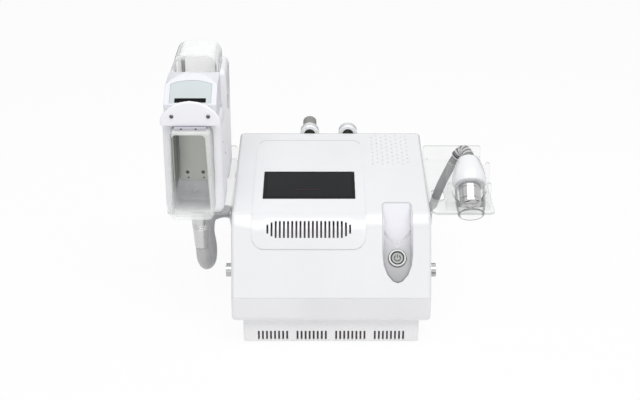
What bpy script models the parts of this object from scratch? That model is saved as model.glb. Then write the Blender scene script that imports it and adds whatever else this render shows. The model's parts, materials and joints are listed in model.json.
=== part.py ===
"""A desktop cryolipolysis machine: a white console with a touch screen, two vacuum cooling
handpieces on a clear tray at its left, and a small metal-headed handpiece at its right.

The origin is at the middle of the underside, +Z is up and the front faces -Y.
"""
import math

import bmesh
import bpy
from mathutils import Matrix, Vector

MM = 0.001
CLEARANCE = 0.3 * MM
OVERRUN = 20 * MM
WELD = 0.05 * MM

# Console casing
BODY_WIDTH = 330 * MM
BODY_DEPTH = 351 * MM
WALL = 3 * MM
FOOT_HEIGHT = 2 * MM
PLINTH_HEIGHT = 46 * MM
PAN_HEIGHT = 47 * MM
FRONT_RISE = 103 * MM
FRONT_RUN = 48 * MM
CREASE_RISE = 19 * MM
CREASE_RUN = 22 * MM
TOP_RISE = 30 * MM
CASE_ROUND = 6 * MM
PAN_ROUND = 12 * MM
REAR_REACH = 51.3 * MM

PLINTH_WIDTH = 294 * MM
PLINTH_FRONT = 16 * MM
PLINTH_BACK = 16 * MM
PLINTH_ROUND = 3 * MM
SLOT_WIDTH = 3.3 * MM
SLOT_PITCH = 6.8 * MM
PLINTH_SLOT_HEIGHT = 17 * MM
PLINTH_SLOT_BASE = 4 * MM
PLINTH_SLOTS = 8
PLINTH_GROUPS = 4
PLINTH_GROUP_PITCH = 65 * MM
FOOT_RADIUS = 11 * MM
FOOT_INSET = 26 * MM

# Display fascia, wrapped over the crease
FASCIA_X = -37 * MM
FASCIA_WIDTH = 188 * MM
FASCIA_PROUD = 1.2 * MM
FASCIA_TOP_BACK = 31 * MM
FASCIA_DROP = 30 * MM
FASCIA_CORNER = 20 * MM
FASCIA_VIEW_DEGREES = 50
SCREEN_WIDTH = 156 * MM
SCREEN_LENGTH = 92 * MM
SCREEN_FRONT = 112 * MM
SCREEN_GLASS = 3 * MM
SCREEN_ROUND = 2 * MM
DISPLAY_MARGIN = 5 * MM
DISPLAY_THICK = 9 * MM
VENT_SLOTS = 21
VENT_LENGTH = 28 * MM
VENT_END_TRIM = 13 * MM
VENT_NEXT_TRIM = 5 * MM

# Power recess and switch
RECESS_X = 109.5 * MM
RECESS_WIDTH = 50 * MM
RECESS_BACK = 104 * MM
RECESS_LOW_RISE = 22 * MM
RECESS_CORNER = 8 * MM
RECESS_WALL = 2 * MM
RECESS_FLOOR = 3 * MM
RECESS_POINT_SHARES = ((1.0, 0.9), (0.92, 0.56), (0.68, 0.26), (0.32, 0.06), (0.0, 0.0))
RECESS_POINT_LENGTH = 50 * MM
FACET_LOW = 63.5 * MM
FACET_HIGH = 93 * MM
FACET_THICK = 3 * MM
SWITCH_UP = 42.5 * MM
SWITCH_RING_RADIUS = 15.5 * MM
SWITCH_RING_HEIGHT = 2.5 * MM
SWITCH_BARREL_RADIUS = 13.5 * MM
SWITCH_BARREL_LENGTH = 24 * MM
SWITCH_BORE_RADIUS = 11.2 * MM
SWITCH_BORE_DEPTH = 8 * MM
BUTTON_GAP = 0.4 * MM
BUTTON_SINK = 0.6 * MM
BUTTON_TRAVEL = 1.2 * MM

# Side knobs
KNOB_Z = 107 * MM
KNOB_DEPTH = 76 * MM
KNOB_RADIUS = 11.5 * MM
KNOB_LENGTH = 11 * MM
KNOB_STANDOFF = 1.2 * MM
KNOB_TEETH = 16
KNOB_TOOTH = 0.7 * MM
STUD_RADIUS = 4 * MM
STUD_FLANGE_RADIUS = 6 * MM
STUD_FLANGE = 1.5 * MM
STUD_INSIDE = 8 * MM

# Clear side trays
TRAY_TOP = 217 * MM
TRAY_THICK = 4 * MM
TRAY_REACH = 272 * MM
TRAY_INNER_GAP = 3 * MM
TRAY_FRONT = 70 * MM
TRAY_LENGTH = 233 * MM
TRAY_CORNER = 10 * MM
LIP_HEIGHT = 24 * MM
FLANGE_FRONT = 90 * MM
FLANGE_LENGTH = 200 * MM
FLANGE_HEIGHT = 28 * MM
SCREW_RADIUS = 3.2 * MM
SCREW_HEAD = 2 * MM
SCREW_SHANK_RADIUS = 1.6 * MM
FLANGE_SCREW_INSET = 22 * MM
FLANGE_SCREW_DROP = 17 * MM
TRAY_SCREWS = 2
HOSE_HOLE_X = 182.5 * MM
HOSE_HOLE_DEPTH = 143 * MM
HOSE_HOLE_RADIUS = 10.5 * MM
HOSE_HOLE_LENGTH = 44 * MM

# Vacuum cooling handpieces; places across the machine are signed
GRIP_X = -224 * MM
GRIP_WIDTH = 96 * MM
GRIP_ROUND = 12 * MM
CUP_WIDTH = 68 * MM
CUP_HEIGHT = 152 * MM
CUP_WALL = 3 * MM
CUP_ROUND = 11 * MM
CUP_LENGTH = 78 * MM
CUP_SHOWS = 34 * MM
SHELL_LENGTH = 87 * MM
FRONT_SHELL_START = 63 * MM
FRONT_SHELL_HEIGHT = 162 * MM
FRONT_CUP_RISE = 6.2 * MM
PLATE_THICK = 2.6 * MM
SIDE_PLATE_LENGTH = 52 * MM
SIDE_PLATE_HEIGHT = 98 * MM
BACK_PLATE_WIDTH = 52 * MM
BACK_PLATE_HEIGHT = 100 * MM
PLATE_HEADROOM = 9 * MM
BLOCK_WIDTH = 44 * MM
BLOCK_HEIGHT = 84 * MM
BLOCK_LENGTH = 22 * MM
REAR_SHELL_START = 192 * MM
REAR_SHELL_HEIGHT = 205 * MM
REAR_CUP_RISE = 87 * MM
REAR_CUP_WIDTH = 76 * MM
LIFT_TRAVEL = 50 * MM

# Front handpiece's head
NECK_WIDTH = 50 * MM
NECK_FRONT = 40 * MM
NECK_HEIGHT = 4 * MM
ARCH_FRONT = 45.7 * MM
ARCH_THICK = 8 * MM
ARCH_HEIGHT = 41 * MM
ARCH_END_HEIGHT = 12 * MM
ARCH_ROUND = 2.5 * MM
ARCH_STEPS = 8
ARCH_SCREW_X = 29 * MM
ARCH_SCREW_UP = 17 * MM
NECK_SCREW_X = 12 * MM
HEAD_WIDTH = 84 * MM
HEAD_START = 54.1 * MM
HEAD_LENGTH = 95 * MM
HEAD_FRONT_HEIGHT = 34 * MM
HEAD_TOP_HEIGHT = 67 * MM
HEAD_SLOPE_RUN = 58 * MM
HEAD_BACK_DROP = 12 * MM
HEAD_ROUND = 6 * MM
HEAD_CROWN = 13 * MM
WINDOW_WIDTH = 66 * MM
WINDOW_CROWN = 8 * MM
WINDOW_LENGTH = 48 * MM
WINDOW_THICK = 1.6 * MM
WINDOW_START = 2.5 * MM
POCKET_DEPTH = 2 * MM

# Hose collar and big hose
COLLAR_X = -217 * MM
COLLAR_DEPTH = 84 * MM
COLLAR_RADIUS = 17 * MM
COLLAR_END_RADIUS = 12 * MM
COLLAR_LENGTH = 68 * MM
COLLAR_RING = 0.9 * MM
COLLAR_PLAIN = 20 * MM
COLLAR_STUB_RADIUS = 9 * MM
COLLAR_STUB = 6 * MM
COLLAR_PASS = 1.6 * MM
BIG_HOSE_RADIUS = 11 * MM
SMALL_HOSE_RADIUS = 7.5 * MM

# Small handpiece at the right; it leans towards the front
WAND_X = 227.6 * MM
WAND_MOUTH_DEPTH = 37 * MM
WAND_MOUTH_Z = 229 * MM
WAND_LEAN_DEGREES = 38
WAND_CUP_LENGTH = 53 * MM
WAND_CUP_RADIUS = 24.5 * MM
WAND_MOUTH_RADIUS = 20.5 * MM
WAND_CUP_WALL = 2 * MM
WAND_HEAD_RADIUS = 17.5 * MM
WAND_HEAD_LENGTH = 36 * MM
WAND_HEAD_DOME = 4 * MM
WAND_BODY_RADIUS = 28 * MM
WAND_TAIL_RADIUS = 17 * MM
WAND_BODY_LENGTH = 52 * MM
RELIEF_ROOT_RADIUS = 10.5 * MM
RELIEF_TIP_RADIUS = 8.6 * MM
RELIEF_RIB = 1.3 * MM
FERRULE_RADIUS = 9.2 * MM
RELIEF_RIB_SHARES = (0.25, 0.9)
FORK_DEPTHS = (80 * MM, 110 * MM)
FORK_THICK = 5 * MM
FORK_WIDTH = 72 * MM
FORK_RISE_OVER_AXIS = 4 * MM
FORK_CLEARANCE = 1.5 * MM
FORK_BASE = 4 * MM

# Rear panel and its fittings
PANEL_THICK = 3 * MM
PANEL_RECESS = 2 * MM
FAN_SIZE = 80 * MM
FAN_DEPTH = 25 * MM
FAN_X = 0 * MM
FAN_Z = 152 * MM
FAN_WALL = 2.5 * MM
FAN_BORE_RADIUS = 37 * MM
FAN_HUB_RADIUS = 15 * MM
FAN_BLADE_RADIUS = 35.5 * MM
FAN_BLADES = 7
FAN_BLADE_THICK = 1.6 * MM
FAN_BLADE_PITCH_DEGREES = 35
FAN_SPOKE = 4 * MM
FAN_BACK_WEB = 3 * MM
FAN_HUB_LENGTH = 14 * MM
FAN_PIN_RADIUS = 2.5 * MM
GUARD_RINGS = 3
GUARD_RING_GAP = 9 * MM
GUARD_WIRE = 2.4 * MM
GUARD_ARM = 3.4 * MM
INLET_X = -128 * MM
INLET_Z = 82 * MM
INLET_WIDTH = 48 * MM
INLET_HEIGHT = 26 * MM
INLET_FLANGE = 3 * MM
INLET_BODY_WIDTH = 30 * MM
INLET_BODY_HEIGHT = 21 * MM
INLET_BODY_DEPTH = 28 * MM
INLET_WELL_WIDTH = 25 * MM
INLET_WELL_HEIGHT = 16 * MM
INLET_WELL_DEPTH = 18 * MM
ROCKER_X = -84 * MM
ROCKER_BODY_DEPTH = 14 * MM
PIN_WIDTH = 2 * MM
PIN_HEIGHT = 4 * MM
ROCKER_WIDTH = 13 * MM
ROCKER_HEIGHT = 20 * MM
ROCKER_THICK = 5 * MM
ROCKER_GAP = 1.2 * MM
SOCKET_Z = 84 * MM
SOCKET_RADIUS_OVER_HOSE = 4 * MM
SOCKET_LENGTH = 14 * MM
SOCKET_INSIDE = 10 * MM
NECK_FITTING_XS = (-37.5 * MM, 33 * MM)
NECK_FITTING_Z = 242 * MM
NECK_RING_RADIUS = 17.5 * MM
NECK_BORE_RADIUS = 10.3 * MM
NECK_RING_LENGTH = 16 * MM
NECK_BORE_DEPTH = 12 * MM
NECK_LEG_WIDTH = 22 * MM
NECK_LEG_DROP = 40 * MM
NECK_LEG_THICK = 6 * MM
NECK_STANDOFF = 2.3 * MM
SPOUT_TILT_DEGREES = 15
SPOUT_ROOT = 1.5 * MM
SPOUT_RADIUS = 9 * MM
SPOUT_LENGTH = 28.95 * MM
CAP_RADIUS = 13 * MM
CAP_LENGTH = 21 * MM
CAP_WALL = 3.6 * MM
CAP_TEETH = 14
CAP_TOOTH = 0.8 * MM

# Inside the console
TANK_SIZE = (84 * MM, 120 * MM, 104 * MM)
TANK_PLACE = (-108 * MM, 190 * MM)
TANK_WALL = 3 * MM
TANK_NECK_RADIUS = 14 * MM
TANK_NECK_HEIGHT = 10 * MM
SUPPLY_SIZE = (96 * MM, 160 * MM, 46 * MM)
SUPPLY_PLACE = (98 * MM, 200 * MM)
SUPPLY_SLOTS = 9
BOARD_SIZE = (96 * MM, 110 * MM, 1.6 * MM)
BOARD_PLACE = (98 * MM, 200 * MM)
BOARD_STANDOFF = 8 * MM
BOARD_STANDOFF_RADIUS = 3 * MM
BOARD_CHIP = 18 * MM
BOARD_CHIP_HEIGHT = 4 * MM
PUMP_RADIUS = 20 * MM
PUMP_LENGTH = 64 * MM
PUMP_PLACE = (-6 * MM, 120 * MM)
PUMP_FOOT = 6 * MM
VACUUM_PLACE = (-108 * MM, 70 * MM)
VACUUM_RADIUS = 17 * MM
VACUUM_LENGTH = 70 * MM
RADIATOR_WIDTH = 130 * MM
RADIATOR_HEIGHT = 100 * MM
RADIATOR_DEPTH = 30 * MM
RADIATOR_FINS = 11
RADIATOR_FIN = 1.6 * MM
RADIATOR_TUBE = 12 * MM

# Hose routes: points on each line's centre, across, back from the casing's front, and up
COIL_PITCH_OVER_DIAMETER = 0.8 * MM
COIL_INWARD_SHARE = 0.25
COIL_STEP_UP = 0.3
BIG_COIL_X = -70 * MM
BIG_COIL_DEPTH = 492 * MM
BIG_COIL_RADIUS = 115 * MM
BIG_COIL_TURNS = 1.5
SMALL_COIL_X = 121 * MM
SMALL_COIL_DEPTH = 574 * MM
SMALL_COIL_RADIUS = 76 * MM
SMALL_COIL_TURNS = 2.5
SMALL_SOCKET_X = 74 * MM
COIL_STEPS = 24
LEAD_STEP_SHARE = 2.3
RELIEF_ROUTE = ((223.5, 135, 301), (217.5, 140, 298), (211.5, 143, 288))
BIG_HOSE_ROUTE = (
    (-214.5, 98, 110),
    (-209.5, 120, 100),
    (-208, 143, 112),
    (-213, 158, 136),
    (-213, 170, 155),
    (-204, 183, 162),
    (-189, 201, 157),
    (-179, 226, 144),
    (-177.6, 262, 123),
    (-177.6, 305, 98),
    (-177.6, 345, 70),
    (-179, 380, 40),
    (-182, 415, 18),
    (-184.5, 445, 11.05),
)
SMALL_HOSE_ROUTE = (
    (201, 144, 266),
    (191, 146, 242),
    (182, 147, 217),
    (178.8, 153, 202),
    (177.6, 168, 186),
    (175, 192, 170),
    (173.8, 216, 148),
    (173.8, 240, 110),
    (174.5, 260, 70),
    (176.5, 285, 30),
    (180, 318, 10),
    (184, 362, 7.55),
    (190, 420, 7.55),
    (195, 490, 7.55),
)

SIDES = 24
UNIT = 1.0

FRONT_Y = -(BODY_DEPTH + REAR_REACH) / 2
UNDER_Z = FOOT_HEIGHT + PLINTH_HEIGHT
SEAM_Z = UNDER_Z + PAN_HEIGHT
CREASE_LOW_Z = SEAM_Z + FRONT_RISE
CREASE_HIGH_DEPTH = FRONT_RUN + CREASE_RUN
CREASE_HIGH_Z = CREASE_LOW_Z + CREASE_RISE
BACK_Z = CREASE_HIGH_Z + TOP_RISE
TOP_SLOPE = TOP_RISE / (BODY_DEPTH - CREASE_HIGH_DEPTH)
FRONT_SLOPE = FRONT_RISE / FRONT_RUN
HALF_BODY = BODY_WIDTH / 2
PAN_FLOOR_Z = UNDER_Z + WALL
PANEL_BACK = BODY_DEPTH - PANEL_RECESS

ALONG_X = Matrix(((0, 0, 1), (1, 0, 0), (0, 1, 0)))
FACING_FRONT = Matrix(((1, 0, 0), (0, 0, -1), (0, 1, 0)))
UPRIGHT = Matrix.Identity(3)


def clear_scene():
    for item in list(bpy.data.objects):
        bpy.data.objects.remove(item, do_unlink=True)


def new_collection(name):
    collection = bpy.data.collections.new(name)
    bpy.context.scene.collection.children.link(collection)
    return collection


clear_scene()
MODEL = new_collection("Cryolipolysis_Machine")
CUTTERS = new_collection("Cutters")


def place(x, depth, z):
    """A point given across, back from the casing's front, and up."""
    return Vector((x, FRONT_Y + depth, z))


def top_z(depth):
    """The height of the sloping top panel at a depth."""
    return CREASE_HIGH_Z + (depth - CREASE_HIGH_DEPTH) * TOP_SLOPE


def route(points):
    """A hose route's points, from a table of places in millimetres."""
    return [place(x * MM, depth * MM, z * MM) for x, depth, z in points]


def add_object(name, data, centre, turn=UPRIGHT):
    item = bpy.data.objects.new(name, data)
    item.matrix_world = Matrix.Translation(centre) @ turn.to_4x4()
    MODEL.objects.link(item)
    return item


def hide_cutter(item):
    MODEL.objects.unlink(item)
    CUTTERS.objects.link(item)
    item.hide_render = True
    item.display_type = "WIRE"


def round_edges(item, width, segments=2):
    bevel = item.modifiers.new("Bevel", "BEVEL")
    bevel.width = width
    bevel.segments = segments
    bevel.limit_method = "ANGLE"
    bevel.angle_limit = math.radians(30)


def combine(item, other, operation):
    hide_cutter(other)
    boolean = item.modifiers.new(operation.title(), "BOOLEAN")
    boolean.operation = operation
    boolean.object = other
    boolean.solver = "EXACT"


def cut(item, *others):
    for other in others:
        combine(item, other, "DIFFERENCE")


def unite(item, *others):
    for other in others:
        combine(item, other, "UNION")


def block(name, low, high, rounding=0.0, segments=2):
    """A box between two corners, with rounded edges where asked."""
    mesh = bpy.data.meshes.new(name)
    shape = bmesh.new()
    bmesh.ops.create_cube(shape, size=UNIT)
    bmesh.ops.scale(shape, vec=high - low, verts=shape.verts)
    shape.to_mesh(mesh)
    shape.free()
    item = add_object(name, mesh, (low + high) / 2)
    if rounding:
        round_edges(item, rounding, segments)
    return item


def turned_block(name, centre, turn, size):
    """A box of a size about a centre, turned."""
    mesh = bpy.data.meshes.new(name)
    shape = bmesh.new()
    bmesh.ops.create_cube(shape, size=UNIT)
    bmesh.ops.scale(shape, vec=size, verts=shape.verts)
    shape.to_mesh(mesh)
    shape.free()
    return add_object(name, mesh, centre, turn)


def blocks(name, boxes):
    """Several separate boxes in one mesh, for a row of cuts or identical pieces."""
    mesh = bpy.data.meshes.new(name)
    shape = bmesh.new()
    for low, high in boxes:
        made = bmesh.ops.create_cube(shape, size=UNIT)["verts"]
        bmesh.ops.scale(shape, vec=high - low, verts=made)
        bmesh.ops.translate(shape, vec=(low + high) / 2, verts=made)
    shape.to_mesh(mesh)
    shape.free()
    return add_object(name, mesh, Vector())


def toward(axis):
    """The turn that takes +Z to an axis."""
    return Vector(axis).to_track_quat("Z", "Y").to_matrix()


def rod(name, start, axis, radius, length, sides=SIDES, end_radius=None):
    """A cylinder or cone from a start point along an axis."""
    axis = Vector(axis).normalized()
    mesh = bpy.data.meshes.new(name)
    shape = bmesh.new()
    bmesh.ops.create_cone(
        shape,
        cap_ends=True,
        segments=sides,
        radius1=radius,
        radius2=radius if end_radius is None else end_radius,
        depth=length,
    )
    shape.to_mesh(mesh)
    shape.free()
    smooth(mesh)
    return add_object(name, mesh, Vector(start) + axis * (length / 2), toward(axis))


def rods(name, starts, axis, radius, length, sides=SIDES):
    """Several separate cylinders in one mesh."""
    axis = Vector(axis).normalized()
    mesh = bpy.data.meshes.new(name)
    shape = bmesh.new()
    for start in starts:
        turn = Matrix.Translation(Vector(start) + axis * (length / 2)) @ toward(axis).to_4x4()
        bmesh.ops.create_cone(
            shape, cap_ends=True, segments=sides, radius1=radius, radius2=radius, depth=length, matrix=turn
        )
    shape.to_mesh(mesh)
    shape.free()
    return add_object(name, mesh, Vector())


def smooth(mesh):
    mesh.shade_smooth()
    mesh.set_sharp_from_angle(angle=math.radians(35))


def lathe(name, start, axis, profile, sides=SIDES):
    """A turned piece: its profile of radius and height runs from the top down its outer side."""
    mesh = bpy.data.meshes.new(name)
    points = [(radius, 0, height) for radius, height in profile]
    mesh.from_pydata(points, [(i, i + 1) for i in range(len(points) - 1)], [])
    item = add_object(name, mesh, Vector(start), toward(axis))
    screw = item.modifiers.new("Screw", "SCREW")
    screw.steps = sides
    screw.render_steps = sides
    screw.use_merge_vertices = True
    screw.merge_threshold = WELD
    screw.use_smooth_shade = True
    return item


def to_mesh(item):
    """Turns a curve object into a welded mesh object of the same name."""
    graph = bpy.context.evaluated_depsgraph_get()
    mesh = bpy.data.meshes.new_from_object(item.evaluated_get(graph))
    shape = bmesh.new()
    shape.from_mesh(mesh)
    bmesh.ops.remove_doubles(shape, verts=shape.verts, dist=WELD)
    bmesh.ops.dissolve_limit(
        shape, angle_limit=math.radians(0.5), verts=shape.verts, edges=shape.edges
    )
    bmesh.ops.recalc_face_normals(shape, faces=shape.faces)
    shape.to_mesh(mesh)
    shape.free()
    name, matrix = item.name, item.matrix_world.copy()
    bpy.data.objects.remove(item, do_unlink=True)
    made = add_object(name, mesh, matrix.to_translation(), matrix.to_3x3())
    made.name = name
    return made


def slab(name, outline, thickness, centre, turn):
    """A flat outline with a thickness, centred on its own plane."""
    curve = bpy.data.curves.new(name, "CURVE")
    curve.dimensions = "2D"
    curve.fill_mode = "BOTH"
    curve.extrude = thickness / 2
    spline = curve.splines.new("POLY")
    spline.points.add(len(outline) - 1)
    for point, (x, y) in zip(spline.points, outline):
        point.co = (x, y, 0, 1)
    spline.use_cyclic_u = True
    return to_mesh(add_object(name, curve, centre, turn))


def rounded(low_x, low_y, high_x, high_y, radius, steps=4):
    """A rectangle's outline with round corners."""
    corners = (
        (high_x - radius, low_y + radius, -90),
        (high_x - radius, high_y - radius, 0),
        (low_x + radius, high_y - radius, 90),
        (low_x + radius, low_y + radius, 180),
    )
    points = []
    for x, y, start in corners:
        for step in range(steps + 1):
            angle = math.radians(start + 90 * step / steps)
            points.append((x + radius * math.cos(angle), y + radius * math.sin(angle)))
    return points


def inset(outline, distance):
    """A convex outline, running anticlockwise, moved inwards by a distance."""
    moved = []
    count = len(outline)
    for i in range(count):
        before, here, after = (Vector(outline[(i + k) % count]) for k in (-1, 0, 1))
        first = (here - before).normalized()
        second = (after - here).normalized()
        normal = Vector((-first.y - second.y, first.x + second.x))
        normal.normalize()
        lean = normal.dot(Vector((-first.y, first.x)))
        moved.append(tuple(here + normal * (distance / lean)))
    return moved


def tube(name, points, radius, resolution=2, radii_shares=None):
    """A round tube along points, with closed ends."""
    curve = bpy.data.curves.new(name, "CURVE")
    curve.dimensions = "3D"
    curve.bevel_depth = radius
    curve.bevel_resolution = resolution
    curve.use_fill_caps = True
    spline = curve.splines.new("POLY")
    spline.points.add(len(points) - 1)
    for i, point in enumerate(points):
        spline.points[i].co = (*point, 1)
        if radii_shares:
            spline.points[i].radius = radii_shares[i]
    return add_object(name, curve, Vector())


def smooth_line(points, step):
    """Evenly spaced points on a smooth curve through the points given."""
    fine = []
    ends = [points[0] * 2 - points[1], *points, points[-1] * 2 - points[-2]]
    for i in range(1, len(ends) - 2):
        a, b, c, d = ends[i - 1 : i + 3]
        for k in range(24):
            t = k / 24
            fine.append(
                (
                    b * 2
                    + (c - a) * t
                    + (a * 2 - b * 5 + c * 4 - d) * t**2
                    + (b * 3 - a - c * 3 + d) * t**3
                )
                / 2
            )
    fine.append(points[-1])
    lengths = [0.0]
    for a, b in zip(fine, fine[1:]):
        lengths.append(lengths[-1] + (b - a).length)
    count = max(2, round(lengths[-1] / step))
    line = []
    at = 0
    for k in range(count + 1):
        goal = lengths[-1] * k / count
        while at < len(fine) - 2 and lengths[at + 1] < goal:
            at += 1
        share = (goal - lengths[at]) / max(lengths[at + 1] - lengths[at], WELD)
        line.append(fine[at].lerp(fine[at + 1], min(share, UNIT)))
    return line, lengths[-1]


def paint(item, colour, roughness, metallic=0.0, alpha=1.0):
    """Gives a piece its own material."""
    material = bpy.data.materials.new(item.name + "_finish")
    material.use_nodes = True
    shader = material.node_tree.nodes["Principled BSDF"]
    shader.inputs["Base Color"].default_value = (*colour, 1)
    shader.inputs["Roughness"].default_value = roughness
    shader.inputs["Metallic"].default_value = metallic
    shader.inputs["Alpha"].default_value = alpha
    item.data.materials.clear()
    item.data.materials.append(material)
    return item


def white_plastic(item):
    return paint(item, (0.86, 0.86, 0.87), 0.25)


def clear_plastic(item):
    return paint(item, (0.9, 0.92, 0.92), 0.08, alpha=0.35)


def steel(item):
    return paint(item, (0.6, 0.6, 0.61), 0.3, 1.0)


def dark_plastic(item):
    return paint(item, (0.05, 0.05, 0.055), 0.45)


def grey_plastic(item):
    return paint(item, (0.35, 0.35, 0.36), 0.5)


# Console casing


def case_profile(below=0.0, behind=0.0):
    """The upper casing's side outline: depth and height, anticlockwise."""
    return [
        (-below / FRONT_SLOPE, SEAM_Z - below),
        (BODY_DEPTH + behind, SEAM_Z - below),
        (BODY_DEPTH + behind, top_z(BODY_DEPTH + behind)),
        (CREASE_HIGH_DEPTH, CREASE_HIGH_Z),
        (FRONT_RUN, CREASE_LOW_Z),
    ]


def side_slab(name, outline, width, x=0.0):
    """A side outline of depth and height, given a width across the machine."""
    return slab(name, outline, width, place(x, 0, 0), ALONG_X)


def recess_frame():
    """The power recess's lowest point, and the turn of its sloping floor."""
    low = place(RECESS_X, RECESS_LOW_RISE / FRONT_SLOPE, SEAM_Z + RECESS_LOW_RISE)
    high = place(RECESS_X, RECESS_BACK, top_z(RECESS_BACK))
    up = (high - low).normalized()
    across = Vector((1, 0, 0))
    out = across.cross(up)
    turn = Matrix((across, up, out)).transposed()
    return low, turn, (high - low).length, up, out


RECESS_LOW, RECESS_TURN, RECESS_LENGTH, RECESS_UP, RECESS_OUT = recess_frame()


def recess_outline(margin):
    """The recess's outline on its floor, moved in by a margin."""
    half = RECESS_WIDTH / 2
    right = [(half * x, RECESS_POINT_LENGTH * y) for x, y in reversed(RECESS_POINT_SHARES)]
    corner = []
    for step in range(4):
        angle = math.radians(30 * step)
        corner.append(
            (
                half - RECESS_CORNER + RECESS_CORNER * math.cos(angle),
                RECESS_LENGTH - RECESS_CORNER + RECESS_CORNER * math.sin(angle),
            )
        )
    right += corner
    left = [(-x, y) for x, y in reversed(right[1:])]
    return inset(right + left, margin)


def recess_slab(name, margin, start, end):
    """The recess's outline between two heights over its floor."""
    centre = RECESS_LOW + RECESS_OUT * ((start + end) / 2)
    return slab(name, recess_outline(margin), end - start, centre, RECESS_TURN)


def make_upper_casing():
    casing = side_slab("upper_casing", case_profile(OVERRUN), BODY_WIDTH)
    round_edges(casing, CASE_ROUND, 3)
    low = place(-BODY_WIDTH, -2 * OVERRUN, SEAM_Z - 2 * OVERRUN)
    cut(casing, block("casing_foot", low, place(BODY_WIDTH, BODY_DEPTH + OVERRUN, SEAM_Z)))
    hollow = inset(case_profile(OVERRUN, OVERRUN), WALL)
    cut(casing, side_slab("casing_hollow", hollow, BODY_WIDTH - 2 * WALL))
    cut(casing, recess_slab("recess_cut", 0, -RECESS_FLOOR - CLEARANCE, 2 * OVERRUN))
    cut(casing, fascia_solid("screen_cut", SCREEN_WIDTH / 2 - DISPLAY_MARGIN))
    cut(casing, vent_cuts("casing_vents"))
    stud_holes = rods(
        "stud_holes",
        [place(-HALF_BODY - OVERRUN, KNOB_DEPTH, KNOB_Z)],
        (1, 0, 0),
        STUD_RADIUS + CLEARANCE,
        BODY_WIDTH + 2 * OVERRUN,
    )
    cut(casing, stud_holes)
    cut(casing, tray_screw_rods("tray_screw_holes", CLEARANCE, OVERRUN))
    white_plastic(casing)


def fascia_solid(name, half):
    """The opening for the display, cut square to the top panel."""
    middle = SCREEN_FRONT + SCREEN_LENGTH / 2
    slope = math.atan(TOP_SLOPE)
    turn = Matrix.Rotation(slope, 3, "X")
    size = Vector((2 * half, SCREEN_LENGTH - 2 * DISPLAY_MARGIN, 2 * OVERRUN))
    return turned_block(name, place(FASCIA_X, middle, top_z(middle)), turn, size)


def vent_cuts(name):
    """A row of slots over the crease, shorter at its two ends."""
    mesh = bpy.data.meshes.new(name)
    shape = bmesh.new()
    lean = math.atan2(CREASE_RISE, CREASE_RUN)
    turn = Matrix.Rotation(lean, 4, "X")
    centre = place(FASCIA_X, FRONT_RUN, CREASE_LOW_Z)
    for i in range(VENT_SLOTS):
        from_end = min(i, VENT_SLOTS - 1 - i)
        trim = VENT_END_TRIM if from_end == 0 else VENT_NEXT_TRIM if from_end == 1 else 0.0
        made = bmesh.ops.create_cube(shape, size=UNIT)["verts"]
        bmesh.ops.scale(shape, vec=(SLOT_WIDTH, VENT_LENGTH - trim, 3 * OVERRUN), verts=made)
        bmesh.ops.translate(shape, vec=((i - (VENT_SLOTS - 1) / 2) * SLOT_PITCH, 0, 0), verts=made)
    bmesh.ops.transform(shape, matrix=turn, verts=shape.verts)
    shape.to_mesh(mesh)
    shape.free()
    return add_object(name, mesh, centre)


def pan_profile(above, behind=0.0):
    """The lower casing's side outline, with its lower corners rounded."""
    points = []
    for centre_depth, start in ((PAN_ROUND, 180), (BODY_DEPTH + behind - PAN_ROUND, 270)):
        for step in range(7):
            angle = math.radians(start + 15 * step)
            points.append(
                (
                    centre_depth + PAN_ROUND * math.cos(angle),
                    UNDER_Z + PAN_ROUND + PAN_ROUND * math.sin(angle),
                )
            )
    return [*points, (BODY_DEPTH + behind, SEAM_Z + above), (0, SEAM_Z + above)]


def make_lower_pan():
    pan = side_slab("lower_pan", pan_profile(OVERRUN), BODY_WIDTH)
    round_edges(pan, CASE_ROUND, 3)
    low = place(-BODY_WIDTH, -OVERRUN, SEAM_Z - CLEARANCE)
    cut(pan, block("pan_top", low, place(BODY_WIDTH, BODY_DEPTH + OVERRUN, SEAM_Z + 2 * OVERRUN)))
    hollow = inset(pan_profile(2 * OVERRUN, OVERRUN), WALL)
    cut(pan, side_slab("pan_hollow", hollow, BODY_WIDTH - 2 * WALL))
    white_plastic(pan)


def make_plinth():
    half = PLINTH_WIDTH / 2
    top = UNDER_Z - CLEARANCE
    low = place(-half, PLINTH_FRONT, FOOT_HEIGHT)
    high = place(half, BODY_DEPTH - PLINTH_BACK, top)
    plinth = block("plinth", low, high, PLINTH_ROUND)
    inner_low = low + Vector((WALL, WALL, WALL))
    inner_high = Vector((high.x - WALL, high.y - WALL, top + OVERRUN))
    cut(plinth, block("plinth_hollow", inner_low, inner_high))
    boxes = []
    for group in range(PLINTH_GROUPS):
        for slot in range(PLINTH_SLOTS):
            x = (group - (PLINTH_GROUPS - 1) / 2) * PLINTH_GROUP_PITCH
            x += (slot - (PLINTH_SLOTS - 1) / 2) * SLOT_PITCH
            base = FOOT_HEIGHT + PLINTH_SLOT_BASE
            start = place(x - SLOT_WIDTH / 2, PLINTH_FRONT - OVERRUN / 2, base)
            end = place(x + SLOT_WIDTH / 2, PLINTH_FRONT + OVERRUN / 2, base + PLINTH_SLOT_HEIGHT)
            boxes.append((start, end))
    cut(plinth, blocks("plinth_slots", boxes))
    starts = [
        place(x, depth, 0)
        for x in (-half + FOOT_INSET, half - FOOT_INSET)
        for depth in (PLINTH_FRONT + FOOT_INSET, BODY_DEPTH - PLINTH_BACK - FOOT_INSET)
    ]
    unite(plinth, rods("plinth_feet", starts, (0, 0, 1), FOOT_RADIUS, FOOT_HEIGHT + WALL / 2, 14))
    white_plastic(plinth)


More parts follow.
